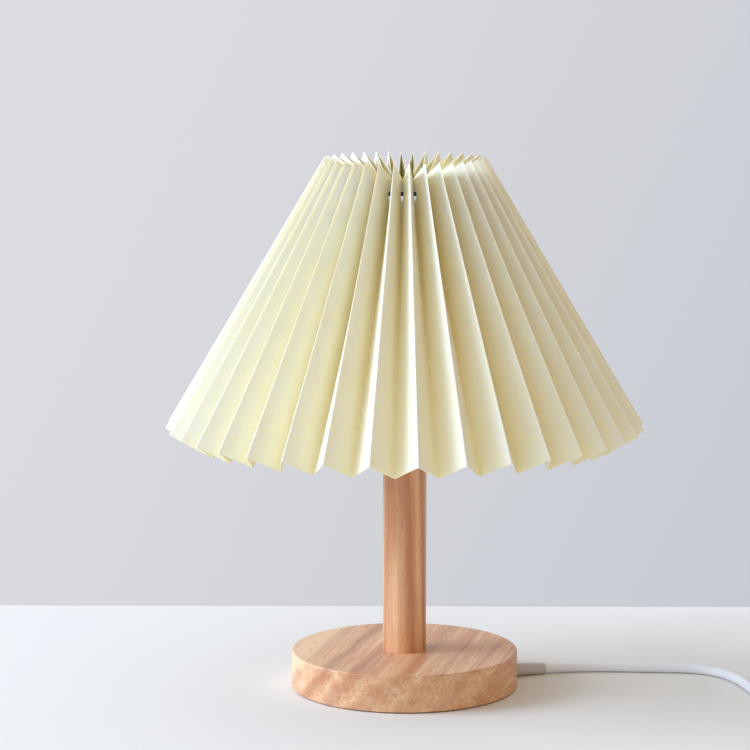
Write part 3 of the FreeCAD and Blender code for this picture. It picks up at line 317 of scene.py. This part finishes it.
materials = {
    "base_wood": wood(
        "base_wood", along=(0.24, 0.97, 0.0), across=(0.70, -0.17, -0.70), ring_start=0.004, ring_width=0.013,
        waver=0.018, figure=(-0.03, 0.5, 0.012, 0.2), pale=colour(250, 210, 164), mid=colour(230, 170, 122),
        deep=colour(164, 92, 56), sapwood_from=-0.043),
    "stem_wood": wood(
        "stem_wood", along=(0.0, 0.0, 1.0), across=(-0.40, -0.92, -0.023), ring_start=0.00575, ring_width=0.007,
        waver=0.005, figure=(-0.01, 0.75, 0.01, 0.6), pale=colour(255, 212, 162), mid=colour(240, 182, 130),
        deep=colour(184, 106, 60)),
    "paper": paper(),
    "cord_white": moulded("cord_white", colour(247, 250, 255), colour(241, 245, 251), rough=(0.34, 0.46)),
    "white_plastic": moulded("white_plastic", colour(238, 238, 236), colour(231, 231, 229), depth=0.00003),
    "black_plastic": moulded("black_plastic", colour(38, 38, 40), colour(30, 30, 32), depth=0.00003),
    "grey_rubber": moulded("grey_rubber", colour(206, 206, 206), colour(196, 196, 196), rough=(0.5, 0.65)),
    "black_wire": moulded("black_wire", colour(44, 43, 42), colour(32, 31, 31), rough=(0.38, 0.55)),
    "zinc_steel": metal("zinc_steel", colour(198, 200, 204), colour(170, 172, 176)),
    "nickel": metal("nickel", colour(214, 210, 202), colour(188, 184, 176), rough=(0.15, 0.28)),
    "brass": metal("brass", colour(222, 184, 108), colour(196, 156, 86)),
    "ceramic": moulded("ceramic", colour(236, 232, 222), colour(226, 221, 210), rough=(0.2, 0.35)),
    "opal": moulded(
        "opal", colour(246, 245, 241), colour(242, 241, 236), rough=(0.2, 0.3),
        Subsurface_Weight=0.5, Subsurface_Radius=(1.0, 1.0, 1.0), Subsurface_Scale=0.003),
    "board": moulded("board", colour(232, 233, 230), colour(220, 222, 218), rough=(0.4, 0.5)),
    "lead_brown": moulded("lead_brown", colour(112, 72, 46), colour(98, 62, 40)),
    "lead_blue": moulded("lead_blue", colour(52, 96, 168), colour(44, 84, 150)),
    "tie": moulded("tie", colour(236, 236, 238), colour(224, 224, 228), rough=(0.55, 0.75), depth=0.0001),
    "pad": moulded("pad", colour(72, 70, 68), colour(58, 56, 54), rough=(0.8, 0.95), depth=0.0002),
}

finish_of = {
    "base_wood": ["base_disc"],
    "stem_wood": ["stem"],
    "cord_white": ["inner_cord"],
    "white_plastic": [
        "switch_lower_housing", "switch_upper_housing", "switch_rocker", "plug_body", "bulb_housing",
        "holder_cap", "shade_ring",
    ],
    "black_plastic": ["plug_pin_sleeves", "bulb_foot_insulator"],
    "grey_rubber": ["strain_relief"],
    "black_wire": ["fitter_plate", "frame_legs", "top_ring"],
    "zinc_steel": [
        "threaded_tube", "base_washer", "base_nut", "stem_washer", "stem_nut", "cord_clamp", "clamp_screws",
        "terminal_screws", "switch_screws",
    ],
    "nickel": ["plug_pins"],
    "brass": ["centre_contact", "side_contact", "bulb_foot_contact", "switch_contacts"],
    "ceramic": ["terminal_block"],
    "opal": ["bulb_globe"],
    "board": ["led_board"],
    "lead_brown": ["live_lead"],
    "lead_blue": ["neutral_lead"],
    "tie": ["coil_tie"],
    "pad": ["base_pad"],
}


def wear(piece, material):
    """Give every slot of a piece the same material."""
    if not piece.material_slots:
        piece.data.materials.append(material)
    for slot in piece.material_slots:
        slot.material = material


for finish, names in finish_of.items():
    for name in names:
        wear(nodes[name], materials[finish])


# ---------------------------------------------------------------- pleated shade
pleat_count = 36
ridge_radius = (0.1262, 0.0426)
ridge_height = (0.1410, 0.2823)
facet_width = 0.0196
facet_length = 0.1642
first_ridge = math.radians(-86.95)
bunching = math.radians(1.9)
frame_legs = 3
paper_thickness = 0.0004
hole_radius = 0.0034
hole_from_edge = 0.010
columns_per_facet = 8
crease_angle = math.radians(52)


def fold_place_tree():
    """One end of a fold. Even folds are ridges on the cone, odd ones valleys a facet's width further in."""
    tree, given, sink = new_tree("GeometryNodeTree", "fold_place", [
        ("Fold", "NodeSocketFloat", 0.0),
        ("Ridge Radius", "NodeSocketFloat", 0.1),
        ("Ridge Height", "NodeSocketFloat", 0.1),
        ("Slant", "NodeSocketFloat", 0.5),
        ("Facet Width", "NodeSocketFloat", 0.02),
        ("Pleats", "NodeSocketFloat", 36.0),
        ("First Ridge", "NodeSocketFloat", 0.0),
        ("Bunching", "NodeSocketFloat", 0.0),
        ("Inset", "NodeSocketFloat", 0.0),
    ], [("Place", "NodeSocketVector"), ("Inwards", "NodeSocketVector")])

    def ridge_azimuth(ridge):
        """Pleats stand a little wider at each leg of the frame."""
        even = math_node(tree, "DIVIDE", math_node(tree, "MULTIPLY", ridge, 2 * math.pi), given["Pleats"])
        swell = math_node(tree, "SINE", math_node(tree, "MULTIPLY", even, float(frame_legs)))
        swell = math_node(tree, "MULTIPLY", swell, given["Bunching"])
        return math_node(tree, "ADD", math_node(tree, "ADD", even, swell), given["First Ridge"])

    odd = math_node(tree, "FLOORED_MODULO", given["Fold"], 2.0)
    before = ridge_azimuth(math_node(tree, "DIVIDE", math_node(tree, "SUBTRACT", given["Fold"], odd), 2.0))
    after = ridge_azimuth(math_node(tree, "DIVIDE", math_node(tree, "ADD", given["Fold"], odd), 2.0))
    azimuth = math_node(tree, "MULTIPLY", math_node(tree, "ADD", before, after), 0.5)
    half_pitch = math_node(tree, "MULTIPLY", math_node(tree, "SUBTRACT", after, before), 0.5)
    bulge = math_node(tree, "SUBTRACT", 1.0, math_node(tree, "COSINE", half_pitch))
    level = math_node(tree, "COSINE", given["Slant"])
    upright = math_node(tree, "SINE", given["Slant"])

    # An inner fold is a facet's width from the two ridges beside it.
    along = math_node(tree, "MULTIPLY", math_node(tree, "MULTIPLY", given["Ridge Radius"], level), bulge)
    squares = math_node(tree, "ADD", math_node(tree, "MULTIPLY", along, along), math_node(
        tree, "MULTIPLY", given["Facet Width"], given["Facet Width"]))
    chord = math_node(tree, "MULTIPLY", math_node(
        tree, "MULTIPLY", given["Ridge Radius"], given["Ridge Radius"]), math_node(tree, "MULTIPLY", bulge, 2.0))
    depth = math_node(tree, "ADD", along, math_node(tree, "SQRT", math_node(tree, "SUBTRACT", squares, chord)))
    depth = math_node(tree, "ADD", math_node(tree, "MULTIPLY", depth, odd), given["Inset"])

    cosine, sine = math_node(tree, "COSINE", azimuth), math_node(tree, "SINE", azimuth)
    ridge = joined_axes(
        tree, math_node(tree, "MULTIPLY", cosine, given["Ridge Radius"]),
        math_node(tree, "MULTIPLY", sine, given["Ridge Radius"]), given["Ridge Height"])
    level_in = math_node(tree, "MULTIPLY", level, -1.0)
    inwards = joined_axes(
        tree, math_node(tree, "MULTIPLY", cosine, level_in), math_node(tree, "MULTIPLY", sine, level_in),
        math_node(tree, "MULTIPLY", upright, -1.0))
    place = vector_node(tree, "ADD", ridge, scaled(tree, inwards, depth))
    return finish_tree(tree, sink, {"Place": place, "Inwards": inwards})


FOLD_PLACE = fold_place_tree()


def laid_grid(tree, pleats, rows):
    """A grid that closes on itself round the cone. Each column runs up the sheet's outside and down its inside."""
    loop = math_node(tree, "MULTIPLY", rows, 2.0)
    per_column = math_node(tree, "ADD", loop, 1.0)
    columns = math_node(tree, "MULTIPLY", pleats, 2.0 * columns_per_facet)
    grid = add(tree, "GeometryNodeMeshGrid", {
        "Vertices X": math_node(tree, "ADD", columns, 1.0), "Vertices Y": per_column}).outputs["Mesh"]
    index = tree.nodes.new("GeometryNodeInputIndex").outputs[0]
    column = math_node(tree, "FLOOR", math_node(tree, "DIVIDE", math_node(tree, "ADD", index, 0.5), per_column))
    row = math_node(tree, "SUBTRACT", index, math_node(tree, "MULTIPLY", column, per_column))
    row = math_node(tree, "FLOOR", math_node(tree, "FLOORED_MODULO", math_node(tree, "ADD", row, 0.25), loop))
    inside = math_node(tree, "GREATER_THAN", row, math_node(tree, "SUBTRACT", rows, 0.5))
    back_down = math_node(tree, "SUBTRACT", math_node(tree, "SUBTRACT", loop, 1.0), math_node(
        tree, "MULTIPLY", row, 2.0))
    row = math_node(tree, "ADD", row, math_node(tree, "MULTIPLY", inside, back_down))
    up = math_node(tree, "DIVIDE", row, math_node(tree, "SUBTRACT", rows, 1.0))
    return grid, column, inside, up


def facet_steps(tree, column, soft):
    """The facet that a column lies on, how far across it, whether in its far half, and the fold's rounding.

    Columns crowd at the folds, out to the share of the facet that each fold softens."""
    steps = float(columns_per_facet)
    facet = math_node(tree, "FLOOR", math_node(tree, "DIVIDE", math_node(tree, "ADD", column, 0.5), steps))
    step = math_node(tree, "SUBTRACT", column, math_node(tree, "MULTIPLY", facet, steps))
    from_fold = math_node(tree, "MINIMUM", step, math_node(tree, "SUBTRACT", steps, step))
    shares = (0.0, math_node(tree, "MULTIPLY", soft, 0.5), soft, math_node(tree, "MULTIPLY", soft, 2.0), 0.5)
    spread = add(tree, "GeometryNodeIndexSwitch", data_type="FLOAT")
    while len(spread.index_switch_items) < len(shares):
        spread.index_switch_items.new()
    fill(tree, spread, {"Index": from_fold, **{i + 1: share for i, share in enumerate(shares)}})
    near = spread.outputs[0]
    far_half = math_node(tree, "GREATER_THAN", step, steps / 2 + 0.5)
    flip = math_node(tree, "SUBTRACT", 1.0, math_node(tree, "MULTIPLY", near, 2.0))
    across = math_node(tree, "ADD", near, math_node(tree, "MULTIPLY", far_half, flip))
    rounding = math_node(tree, "MAXIMUM", math_node(tree, "SUBTRACT", soft, near), 0.0)
    rounding = math_node(tree, "DIVIDE", math_node(tree, "MULTIPLY", rounding, rounding), math_node(
        tree, "MULTIPLY", soft, 2.0))
    return facet, across, far_half, rounding


def facet_bow(tree, facet, facets, across, up, most):
    """How far a facet bows out of flat, most in its middle, and by a different share on each facet."""
    over = math_node(tree, "SINE", math_node(tree, "MULTIPLY", across, math.pi))
    along = math_node(tree, "SINE", math_node(tree, "MULTIPLY", up, math.pi))
    along = math_node(tree, "ADD", 0.4, math_node(tree, "MULTIPLY", along, 0.6))
    number = math_node(tree, "MODULO", facet, facets)
    share = add(tree, "ShaderNodeTexNoise", {
        "Vector": joined_axes(tree, math_node(tree, "MULTIPLY", number, 3.7), math_node(tree, "MULTIPLY", up, 1.4)),
        "Scale": 1.0, "Detail": 0.0}).outputs[0]
    share = math_node(tree, "SUBTRACT", math_node(tree, "MULTIPLY", share, 2.4), 0.7)
    bow = math_node(tree, "MULTIPLY", math_node(tree, "MULTIPLY", over, share), along)
    return math_node(tree, "MULTIPLY", bow, most)


def laid_sheet(tree, grid, place, sheet, from_ridge):
    """The grid moved into place, with its place on the flat sheet and its share of the way from a ridge."""
    kept = add(tree, "GeometryNodeCaptureAttribute", domain="POINT")
    kept.capture_items.new("VECTOR", "Sheet")
    kept.capture_items.new("FLOAT", "From Ridge")
    fill(tree, kept, {"Geometry": grid, "Sheet": sheet, "From Ridge": from_ridge})
    placed_grid = add(tree, "GeometryNodeSetPosition", {"Geometry": kept.outputs["Geometry"], "Position": place})
    mapped = add(tree, "GeometryNodeStoreNamedAttribute", {
        "Geometry": placed_grid.outputs[0], "Name": "sheet", "Value": kept.outputs["Sheet"]},
        data_type="FLOAT2", domain="CORNER")
    marked = add(tree, "GeometryNodeStoreNamedAttribute", {
        "Geometry": mapped.outputs[0], "Name": "from_ridge", "Value": kept.outputs["From Ridge"]},
        data_type="FLOAT", domain="POINT")
    return add(tree, "GeometryNodeMergeByDistance", {
        "Geometry": marked.outputs[0], "Distance": 0.000002}).outputs[0]


def punched(tree, sheet, count, hole, radius):
    """The sheet with a round hole through it at each of some places."""
    holes = add(tree, "GeometryNodePoints", {"Count": count, "Position": hole}).outputs[0]
    ball = add(tree, "GeometryNodeMeshUVSphere", {"Segments": 32, "Rings": 16, "Radius": radius}).outputs["Mesh"]
    balls = add(tree, "GeometryNodeInstanceOnPoints", {"Points": holes, "Instance": ball}).outputs[0]
    return add(
        tree, "GeometryNodeMeshBoolean", {"Mesh 1": sheet, "Mesh 2": balls},
        operation="DIFFERENCE", solver="MANIFOLD").outputs["Mesh"]


def pleated_shade_tree():
    """A cone of equal pleats, folded from one sheet and punched at its inner folds."""
    tree, given, sink = new_tree("GeometryNodeTree", "pleated_shade", [
        ("Geometry", "NodeSocketGeometry", None),
        ("Pleats", "NodeSocketInt", 36),
        ("Bottom Radius", "NodeSocketFloat", 0.1262),
        ("Top Radius", "NodeSocketFloat", 0.0426),
        ("Bottom Height", "NodeSocketFloat", 0.141),
        ("Top Height", "NodeSocketFloat", 0.2823),
        ("Facet Width", "NodeSocketFloat", 0.0196),
        ("Facet Length", "NodeSocketFloat", 0.1642),
        ("First Ridge", "NodeSocketFloat", 0.0),
        ("Bunching", "NodeSocketFloat", 0.0),
        ("Paper Thickness", "NodeSocketFloat", 0.0004),
        ("Fold Softness", "NodeSocketFloat", 0.05),
        ("Facet Bow", "NodeSocketFloat", 0.0004),
        ("Rows", "NodeSocketInt", 9),
        ("Hole Radius", "NodeSocketFloat", 0.0034),
        ("Hole From Edge", "NodeSocketFloat", 0.010),
        ("Material", "NodeSocketMaterial", None),
    ], [("Geometry", "NodeSocketGeometry")])
    narrowing = math_node(tree, "SUBTRACT", given["Bottom Radius"], given["Top Radius"])
    rise = math_node(tree, "SUBTRACT", given["Top Height"], given["Bottom Height"])
    slant = math_node(tree, "ARCTAN2", narrowing, rise)

    def fold_end(fold, end, inset=0.0):
        return placed(tree, FOLD_PLACE, {
            "Fold": fold, "Ridge Radius": given[end + " Radius"], "Ridge Height": given[end + " Height"],
            "Slant": slant, "Facet Width": given["Facet Width"], "Pleats": given["Pleats"],
            "First Ridge": given["First Ridge"], "Bunching": given["Bunching"], "Inset": inset})

    def wall(radius):
        """Shift inwards that leaves each facet the paper's thickness."""
        half_pitch = math_node(tree, "DIVIDE", math.pi, given["Pleats"])
        half_chord = math_node(tree, "MULTIPLY", radius, math_node(tree, "SINE", half_pitch))
        share = math_node(tree, "DIVIDE", half_chord, given["Facet Width"])
        return math_node(tree, "DIVIDE", given["Paper Thickness"], share)

    grid, column, inside, up = laid_grid(tree, given["Pleats"], given["Rows"])
    facet, across, far_half, rounding = facet_steps(tree, column, given["Fold Softness"])
    inset_low = math_node(tree, "MULTIPLY", inside, wall(given["Bottom Radius"]))
    inset_high = math_node(tree, "MULTIPLY", inside, wall(given["Top Radius"]))

    def on_fold(fold):
        """A place on a fold line at the grid's height, and the way inwards there."""
        low, high = fold_end(fold, "Bottom", inset_low), fold_end(fold, "Top", inset_high)
        return between(tree, up, low["Place"], high["Place"]), low["Inwards"]

    # Across the facet from fold to fold, drawn in where the fold is rounded.
    here, inwards_here = on_fold(facet)
    there, inwards_there = on_fold(math_node(tree, "ADD", facet, 1.0))
    chord = vector_node(tree, "SUBTRACT", there, here)
    inwards = between(tree, far_half, inwards_here, inwards_there)
    towards = math_node(tree, "SUBTRACT", 1.0, math_node(tree, "MULTIPLY", far_half, 2.0))
    pull = math_node(tree, "MULTIPLY", vector_node(tree, "DOT_PRODUCT", chord, inwards), rounding)
    place = vector_node(tree, "ADD", here, scaled(tree, chord, across))
    place = vector_node(tree, "ADD", place, scaled(tree, inwards, math_node(tree, "MULTIPLY", pull, towards)))

    # Out of flat.
    facets = math_node(tree, "MULTIPLY", given["Pleats"], 2.0)
    bow = facet_bow(tree, facet, facets, across, up, given["Facet Bow"])
    fold_line = vector_node(tree, "SUBTRACT", fold_end(facet, "Top")["Place"], fold_end(facet, "Bottom")["Place"])
    facet_out = vector_node(tree, "NORMALIZE", vector_node(tree, "CROSS_PRODUCT", chord, fold_line))
    place = vector_node(tree, "ADD", place, scaled(tree, facet_out, bow))

    sheet = joined_axes(
        tree, math_node(tree, "MULTIPLY", math_node(tree, "ADD", facet, across), given["Facet Width"]),
        math_node(tree, "MULTIPLY", up, given["Facet Length"]))
    odd = math_node(tree, "FLOORED_MODULO", facet, 2.0)
    from_ridge = math_node(tree, "ABSOLUTE", math_node(tree, "SUBTRACT", odd, across))
    paper_shell = laid_sheet(tree, grid, place, sheet, from_ridge)

    number = tree.nodes.new("GeometryNodeInputIndex").outputs[0]
    valley = math_node(tree, "ADD", math_node(tree, "MULTIPLY", number, 2.0), 1.0)
    valley_top, valley_bottom = fold_end(valley, "Top")["Place"], fold_end(valley, "Bottom")["Place"]
    down = vector_node(tree, "NORMALIZE", vector_node(tree, "SUBTRACT", valley_bottom, valley_top))
    hole = vector_node(tree, "ADD", valley_top, scaled(tree, down, given["Hole From Edge"]))
    shade = punched(tree, paper_shell, given["Pleats"], hole, given["Hole Radius"])
    joined = add(tree, "GeometryNodeRealizeInstances", {0: shade}).outputs[0]
    dressed = add(tree, "GeometryNodeSetMaterial", {"Geometry": joined, "Material": given["Material"]}).outputs[0]
    return finish_tree(tree, sink, {"Geometry": dressed})


def finished_piece(name, mesh, crease, body):
    """A smooth mesh, sharp where it turns by more than the crease, made a piece that rides on a body."""
    mesh.shade_smooth()
    mesh.set_sharp_from_angle(angle=crease)
    piece = bpy.data.objects.new(name, mesh)
    bpy.context.scene.collection.objects.link(piece)
    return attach(piece, body)


def grown(name, tree, inputs, body):
    """A plain mesh made by a geometry tree with its named inputs, riding on a body."""
    seed = bpy.data.objects.new(name + "_seed", bpy.data.meshes.new(name + "_seed"))
    bpy.context.scene.collection.objects.link(seed)
    modifier = seed.modifiers.new("grown", "NODES")
    modifier.node_group = tree
    for item in tree.interface.items_tree:
        if item.item_type == "SOCKET" and item.in_out == "INPUT" and item.name in inputs:
            modifier[item.identifier] = inputs[item.name]
    mesh = bpy.data.meshes.new_from_object(seed.evaluated_get(bpy.context.evaluated_depsgraph_get()))
    seed.modifiers.remove(modifier)
    bpy.data.objects.remove(seed)
    mesh.name = name
    mesh.materials.clear()
    mesh.materials.append(inputs["Material"])
    return finished_piece(name, mesh, crease_angle, body)


paper_shade = grown("paper_shade", pleated_shade_tree(), {
    "Pleats": pleat_count, "Bottom Radius": ridge_radius[0], "Top Radius": ridge_radius[1],
    "Bottom Height": ridge_height[0], "Top Height": ridge_height[1], "Facet Width": facet_width,
    "Facet Length": facet_length, "First Ridge": first_ridge, "Bunching": bunching,
    "Paper Thickness": paper_thickness, "Hole Radius": hole_radius, "Hole From Edge": hole_from_edge,
    "Material": materials["paper"],
}, "shade")
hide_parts("pleated_shade")


# ---------------------------------------------------------------- screw threads
Thread = namedtuple("Thread", "radius low high pitch depth")


def thread_cut(thread, height, turn):
    """How deep a rounded thread cuts at a height and a share of a turn, running out at both its ends."""
    fade = min(max((height - thread.low) / thread.pitch, 0.0), max((thread.high - height) / thread.pitch, 0.0), 1.0)
    return (0.5 - 0.5 * math.cos(2 * math.pi * (height / thread.pitch - turn))) * thread.depth * fade


def threaded_turning(name, outline, thread, material, body, closed):
    """A turned piece whose runs at the thread's radius carry that thread.

    outline is its profile, as (radius, height). An open one starts and ends on the axis."""
    around = 72
    rings_per_pitch = 8
    profile = []
    for here, there in zip(outline, outline[1:] + outline[:1] if closed else outline[1:]):
        profile.append(here)
        if here[0] == there[0] == thread.radius:
            count = round((there[1] - here[1]) / (thread.pitch / rings_per_pitch))
            profile += [(thread.radius, here[1] + (there[1] - here[1]) * i / count) for i in range(1, count)]
    if not closed:
        profile.append(outline[-1])
    shape = bmesh.new()
    rings = []
    for radius, height in profile:
        if radius == 0:
            rings.append([shape.verts.new((0, 0, height))] * around)
            continue
        ring = []
        for j in range(around):
            turn = j / around
            reach = radius - (thread_cut(thread, height, turn) if radius == thread.radius else 0.0)
            ring.append(shape.verts.new((
                reach * math.cos(2 * math.pi * turn), reach * math.sin(2 * math.pi * turn), height)))
        rings.append(ring)
    for below, above in zip(rings, rings[1:] + rings[:1] if closed else rings[1:]):
        for j in range(around):
            k = (j + 1) % around
            corners = []
            for corner in (below[j], below[k], above[k], above[j]):
                if corner not in corners:
                    corners.append(corner)
            shape.faces.new(corners)
    bmesh.ops.recalc_face_normals(shape, faces=shape.faces)
    mesh = bpy.data.meshes.new(name)
    shape.to_mesh(mesh)
    shape.free()
    mesh.materials.append(material)
    return finished_piece(name, mesh, math.radians(50), body)


threaded_cap = threaded_turning(
    "threaded_cap",
    [(0, 0.1941), (0.0080, 0.1941), (0.0131, 0.1981), (0.0131, 0.2161), (0.0125, 0.2161), (0.0125, 0.1987),
     (0.0080, 0.1947), (0, 0.1947)],
    Thread(radius=0.0131, low=0.1984, high=0.2150, pitch=0.0036, depth=0.0005),
    materials["nickel"], "bulb", closed=False)
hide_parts("bulb_screw_cap")

threaded_shell = threaded_turning(
    "threaded_shell",
    [(0.0175, 0.1822), (0.0195, 0.1822), (0.0195, 0.1902), (0.0225, 0.1902), (0.0225, 0.1922), (0.0194, 0.1922),
     (0.0194, 0.2132), (0.0184, 0.2142), (0.01345, 0.2142), (0.01345, 0.1942), (0.0175, 0.1942)],
    Thread(radius=0.0194, low=0.1930, high=0.2130, pitch=0.0025, depth=0.0007),
    materials["white_plastic"], "lamp_base", closed=True)
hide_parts("holder_shell")

# ---------------------------------------------------------------- cords
cord_diameter = 0.005
to_switch_route = [
    (0.07587, 0.02538, 0.0030), (0.0892, 0.0298, 0.0025), (0.1110, 0.0304, 0.0025), (0.1360, 0.0288, 0.0025),
    (0.1605, 0.0272, 0.0025), (0.1755, 0.0130, 0.0025), (0.1830, -0.0125, 0.0025), (0.1876, -0.0380, 0.0025),
    (0.2000, -0.0605, 0.0025), (0.2230, -0.0735, 0.0025), (0.2475, -0.0705, 0.0032),
    (0.26350, -0.04897, 0.0060), (0.26413, -0.03099, 0.0060),
]
to_coil_route = [(0.26587, 0.01899, 0.0060), (0.26650, 0.03697, 0.0060), (0.27526, 0.0620, 0.0038)]
to_plug_route = [
    (0.2075, 0.0620, 0.0206), (0.2090, 0.0510, 0.0162), (0.2115, 0.0375, 0.0096),
    (0.2130, 0.0250, 0.0065), (0.2130, 0.0090, 0.0065),
]
coil_centre = (0.240, 0.080)
coil_outer_radius = 0.0348
coil_pitch = 0.0056
coil_layers = 4
coil_turns = 7.5
coil_turns_per_layer = 2.0
coil_climb = 0.5
coil_bottom_height = 0.0038
coil_points_per_turn = 16


def swing(turns):
    """Share of the way in from the outer turn, rising and falling, rounded at each reversal."""
    phase = turns % (2 * coil_turns_per_layer)
    ramp = coil_turns_per_layer - abs(coil_turns_per_layer - phase)
    half = coil_climb / 2
    if turns >= half:
        for reversal, level, sign in ((coil_turns_per_layer, coil_turns_per_layer, -1),
                                      (0.0, 0.0, 1), (2 * coil_turns_per_layer, 0.0, 1)):
            away = phase - reversal
            if abs(away) < half:
                ramp = level + sign * (away**2 + half**2) / (2 * half)
    return ramp / coil_turns_per_layer


def climbed(turns):
    """Layers climbed so far, one in the half turn about each reversal."""
    total = 0.0
    for layer in range(1, coil_layers):
        share = min(max((turns - layer * coil_turns_per_layer) / coil_climb + 0.5, 0.0), 1.0)
        total += share * share * (3 - 2 * share)
    return total


def coil_route():
    """Control points of the coil's turns, let out a little because the spline runs inside them."""
    count = int(coil_turns * coil_points_per_turn)
    let_out = 1 / math.cos(math.pi / coil_points_per_turn)
    route = []
    for i in range(count + 1):
        turns = coil_turns * i / count
        radius = coil_outer_radius - coil_pitch * coil_turns_per_layer * swing(turns)
        angle = 2 * math.pi * turns
        route.append((
            coil_centre[0] + radius * let_out * math.cos(angle),
            coil_centre[1] + radius * let_out * math.sin(angle),
            coil_bottom_height + coil_pitch * climbed(turns),
        ))
    return route


def cord_along(name, route):
    """A round cord on one smooth spline."""
    curve = bpy.data.curves.new(name, "CURVE")
    curve.dimensions = "3D"
    curve.bevel_depth = cord_diameter / 2
    curve.bevel_resolution = 6
    curve.resolution_u = 8
    curve.use_fill_caps = True
    spline = curve.splines.new("NURBS")
    spline.points.add(len(route) - 1)
    for point, place in zip(spline.points, route):
        point.co = (*place, 1)
    spline.order_u = 3
    spline.use_endpoint_u = True
    curve.materials.append(materials["cord_white"])
    cord = bpy.data.objects.new(name, curve)
    bpy.context.scene.collection.objects.link(cord)
    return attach(cord, "lamp_base")


base_cord = cord_along("base_cord", to_switch_route)
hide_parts("mains_cord")

spare_cord = cord_along("spare_cord", to_coil_route + coil_route() + to_plug_route)
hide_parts("cord_tail", "cord_coil", "plug_lead")


# ---------------------------------------------------------------- floor, backdrop and light
window_place = (-5.20, -0.27, 2.93)
window_aim = (0, 0, 0.14)
window_size = 3.07
window_power = 366.0
window_tone = (0.660, 0.765, 1.0)
sky_light = (0.86, 0.93, 1.03, 1.0)
low_light = (0.43, 0.21, 0.02, 1.0)
surroundings_strength = 0.92
backdrop_left = colour(220, 221, 225)
backdrop_right_painted_shade = colour(200, 203, 211)


def floor():
    """A plain pale floor that ends a little behind the lamp."""
    half_width, front, back = 1.6, -1.6, 0.187
    mesh = bpy.data.meshes.new("floor")
    corners = [(-half_width, front, 0), (half_width, front, 0), (half_width, back, 0), (-half_width, back, 0)]
    mesh.from_pydata(corners, [], [(0, 1, 2, 3)])
    made, tree, principled, place = new_material("floor_paint", Roughness=0.9, Specular_IOR_Level=0.05)
    pattern = placed(tree, MOTTLE, {"Vector": place, "Cloud Scale": 1.2})
    tree.links.new(
        mixed(tree, pattern["Cloud"], colour(237, 234, 226), colour(233, 230, 223)), principled.inputs["Base Color"])
    mesh.materials.append(made)
    piece = bpy.data.objects.new("floor", mesh)
    bpy.context.scene.collection.objects.link(piece)


def window_light():
    """One broad soft lamp, straight from the left and above."""
    data = bpy.data.lights.new("window_light", "AREA")
    data.shape = "SQUARE"
    data.size = window_size
    data.energy = window_power
    data.color = window_tone
    lamp = bpy.data.objects.new("window_light", data)
    lamp.location = window_place
    lamp.rotation_euler = (Vector(window_aim) - Vector(window_place)).to_track_quat("-Z", "Y").to_euler()
    bpy.context.scene.collection.objects.link(lamp)


def surroundings():
    """Even light from all round, warmer low on the right, and a pale backdrop past the floor's edge, painted darker
    towards the lower right as painted shade.
    """
    world = bpy.data.worlds.new("surroundings")
    world.use_nodes = True
    tree = world.node_tree
    tree.nodes.clear()
    path = add(tree, "ShaderNodeLightPath").outputs
    seen = math_node(tree, "MAXIMUM", path["Is Camera Ray"], math_node(
        tree, "MAXIMUM", path["Is Glossy Ray"], path["Is Transmission Ray"]))
    way = tree.nodes.new("ShaderNodeTexCoord").outputs["Generated"]
    # Painted shade on the backdrop: darker towards the lower right, away from the window.
    across = remap(tree, dotted(tree, way, (1.0, 0.0, -0.5)), -0.06, 0.22)
    low_right = remap(tree, dotted(tree, way, (0.87, -0.19, -0.50)), -0.28, 0.54)
    around = add(tree, "ShaderNodeBackground", {
        "Color": mixed(tree, low_right, sky_light, low_light), "Strength": surroundings_strength}).outputs[0]
    plain = add(tree, "ShaderNodeBackground", {
        "Color": mixed(tree, across, backdrop_left, backdrop_right_painted_shade), "Strength": 1.0}).outputs[0]
    blend = add(tree, "ShaderNodeMixShader", {0: seen, 1: around, 2: plain}).outputs[0]
    tree.links.new(blend, tree.nodes.new("ShaderNodeOutputWorld").inputs["Surface"])
    bpy.context.scene.world = world


floor()
window_light()
surroundings()
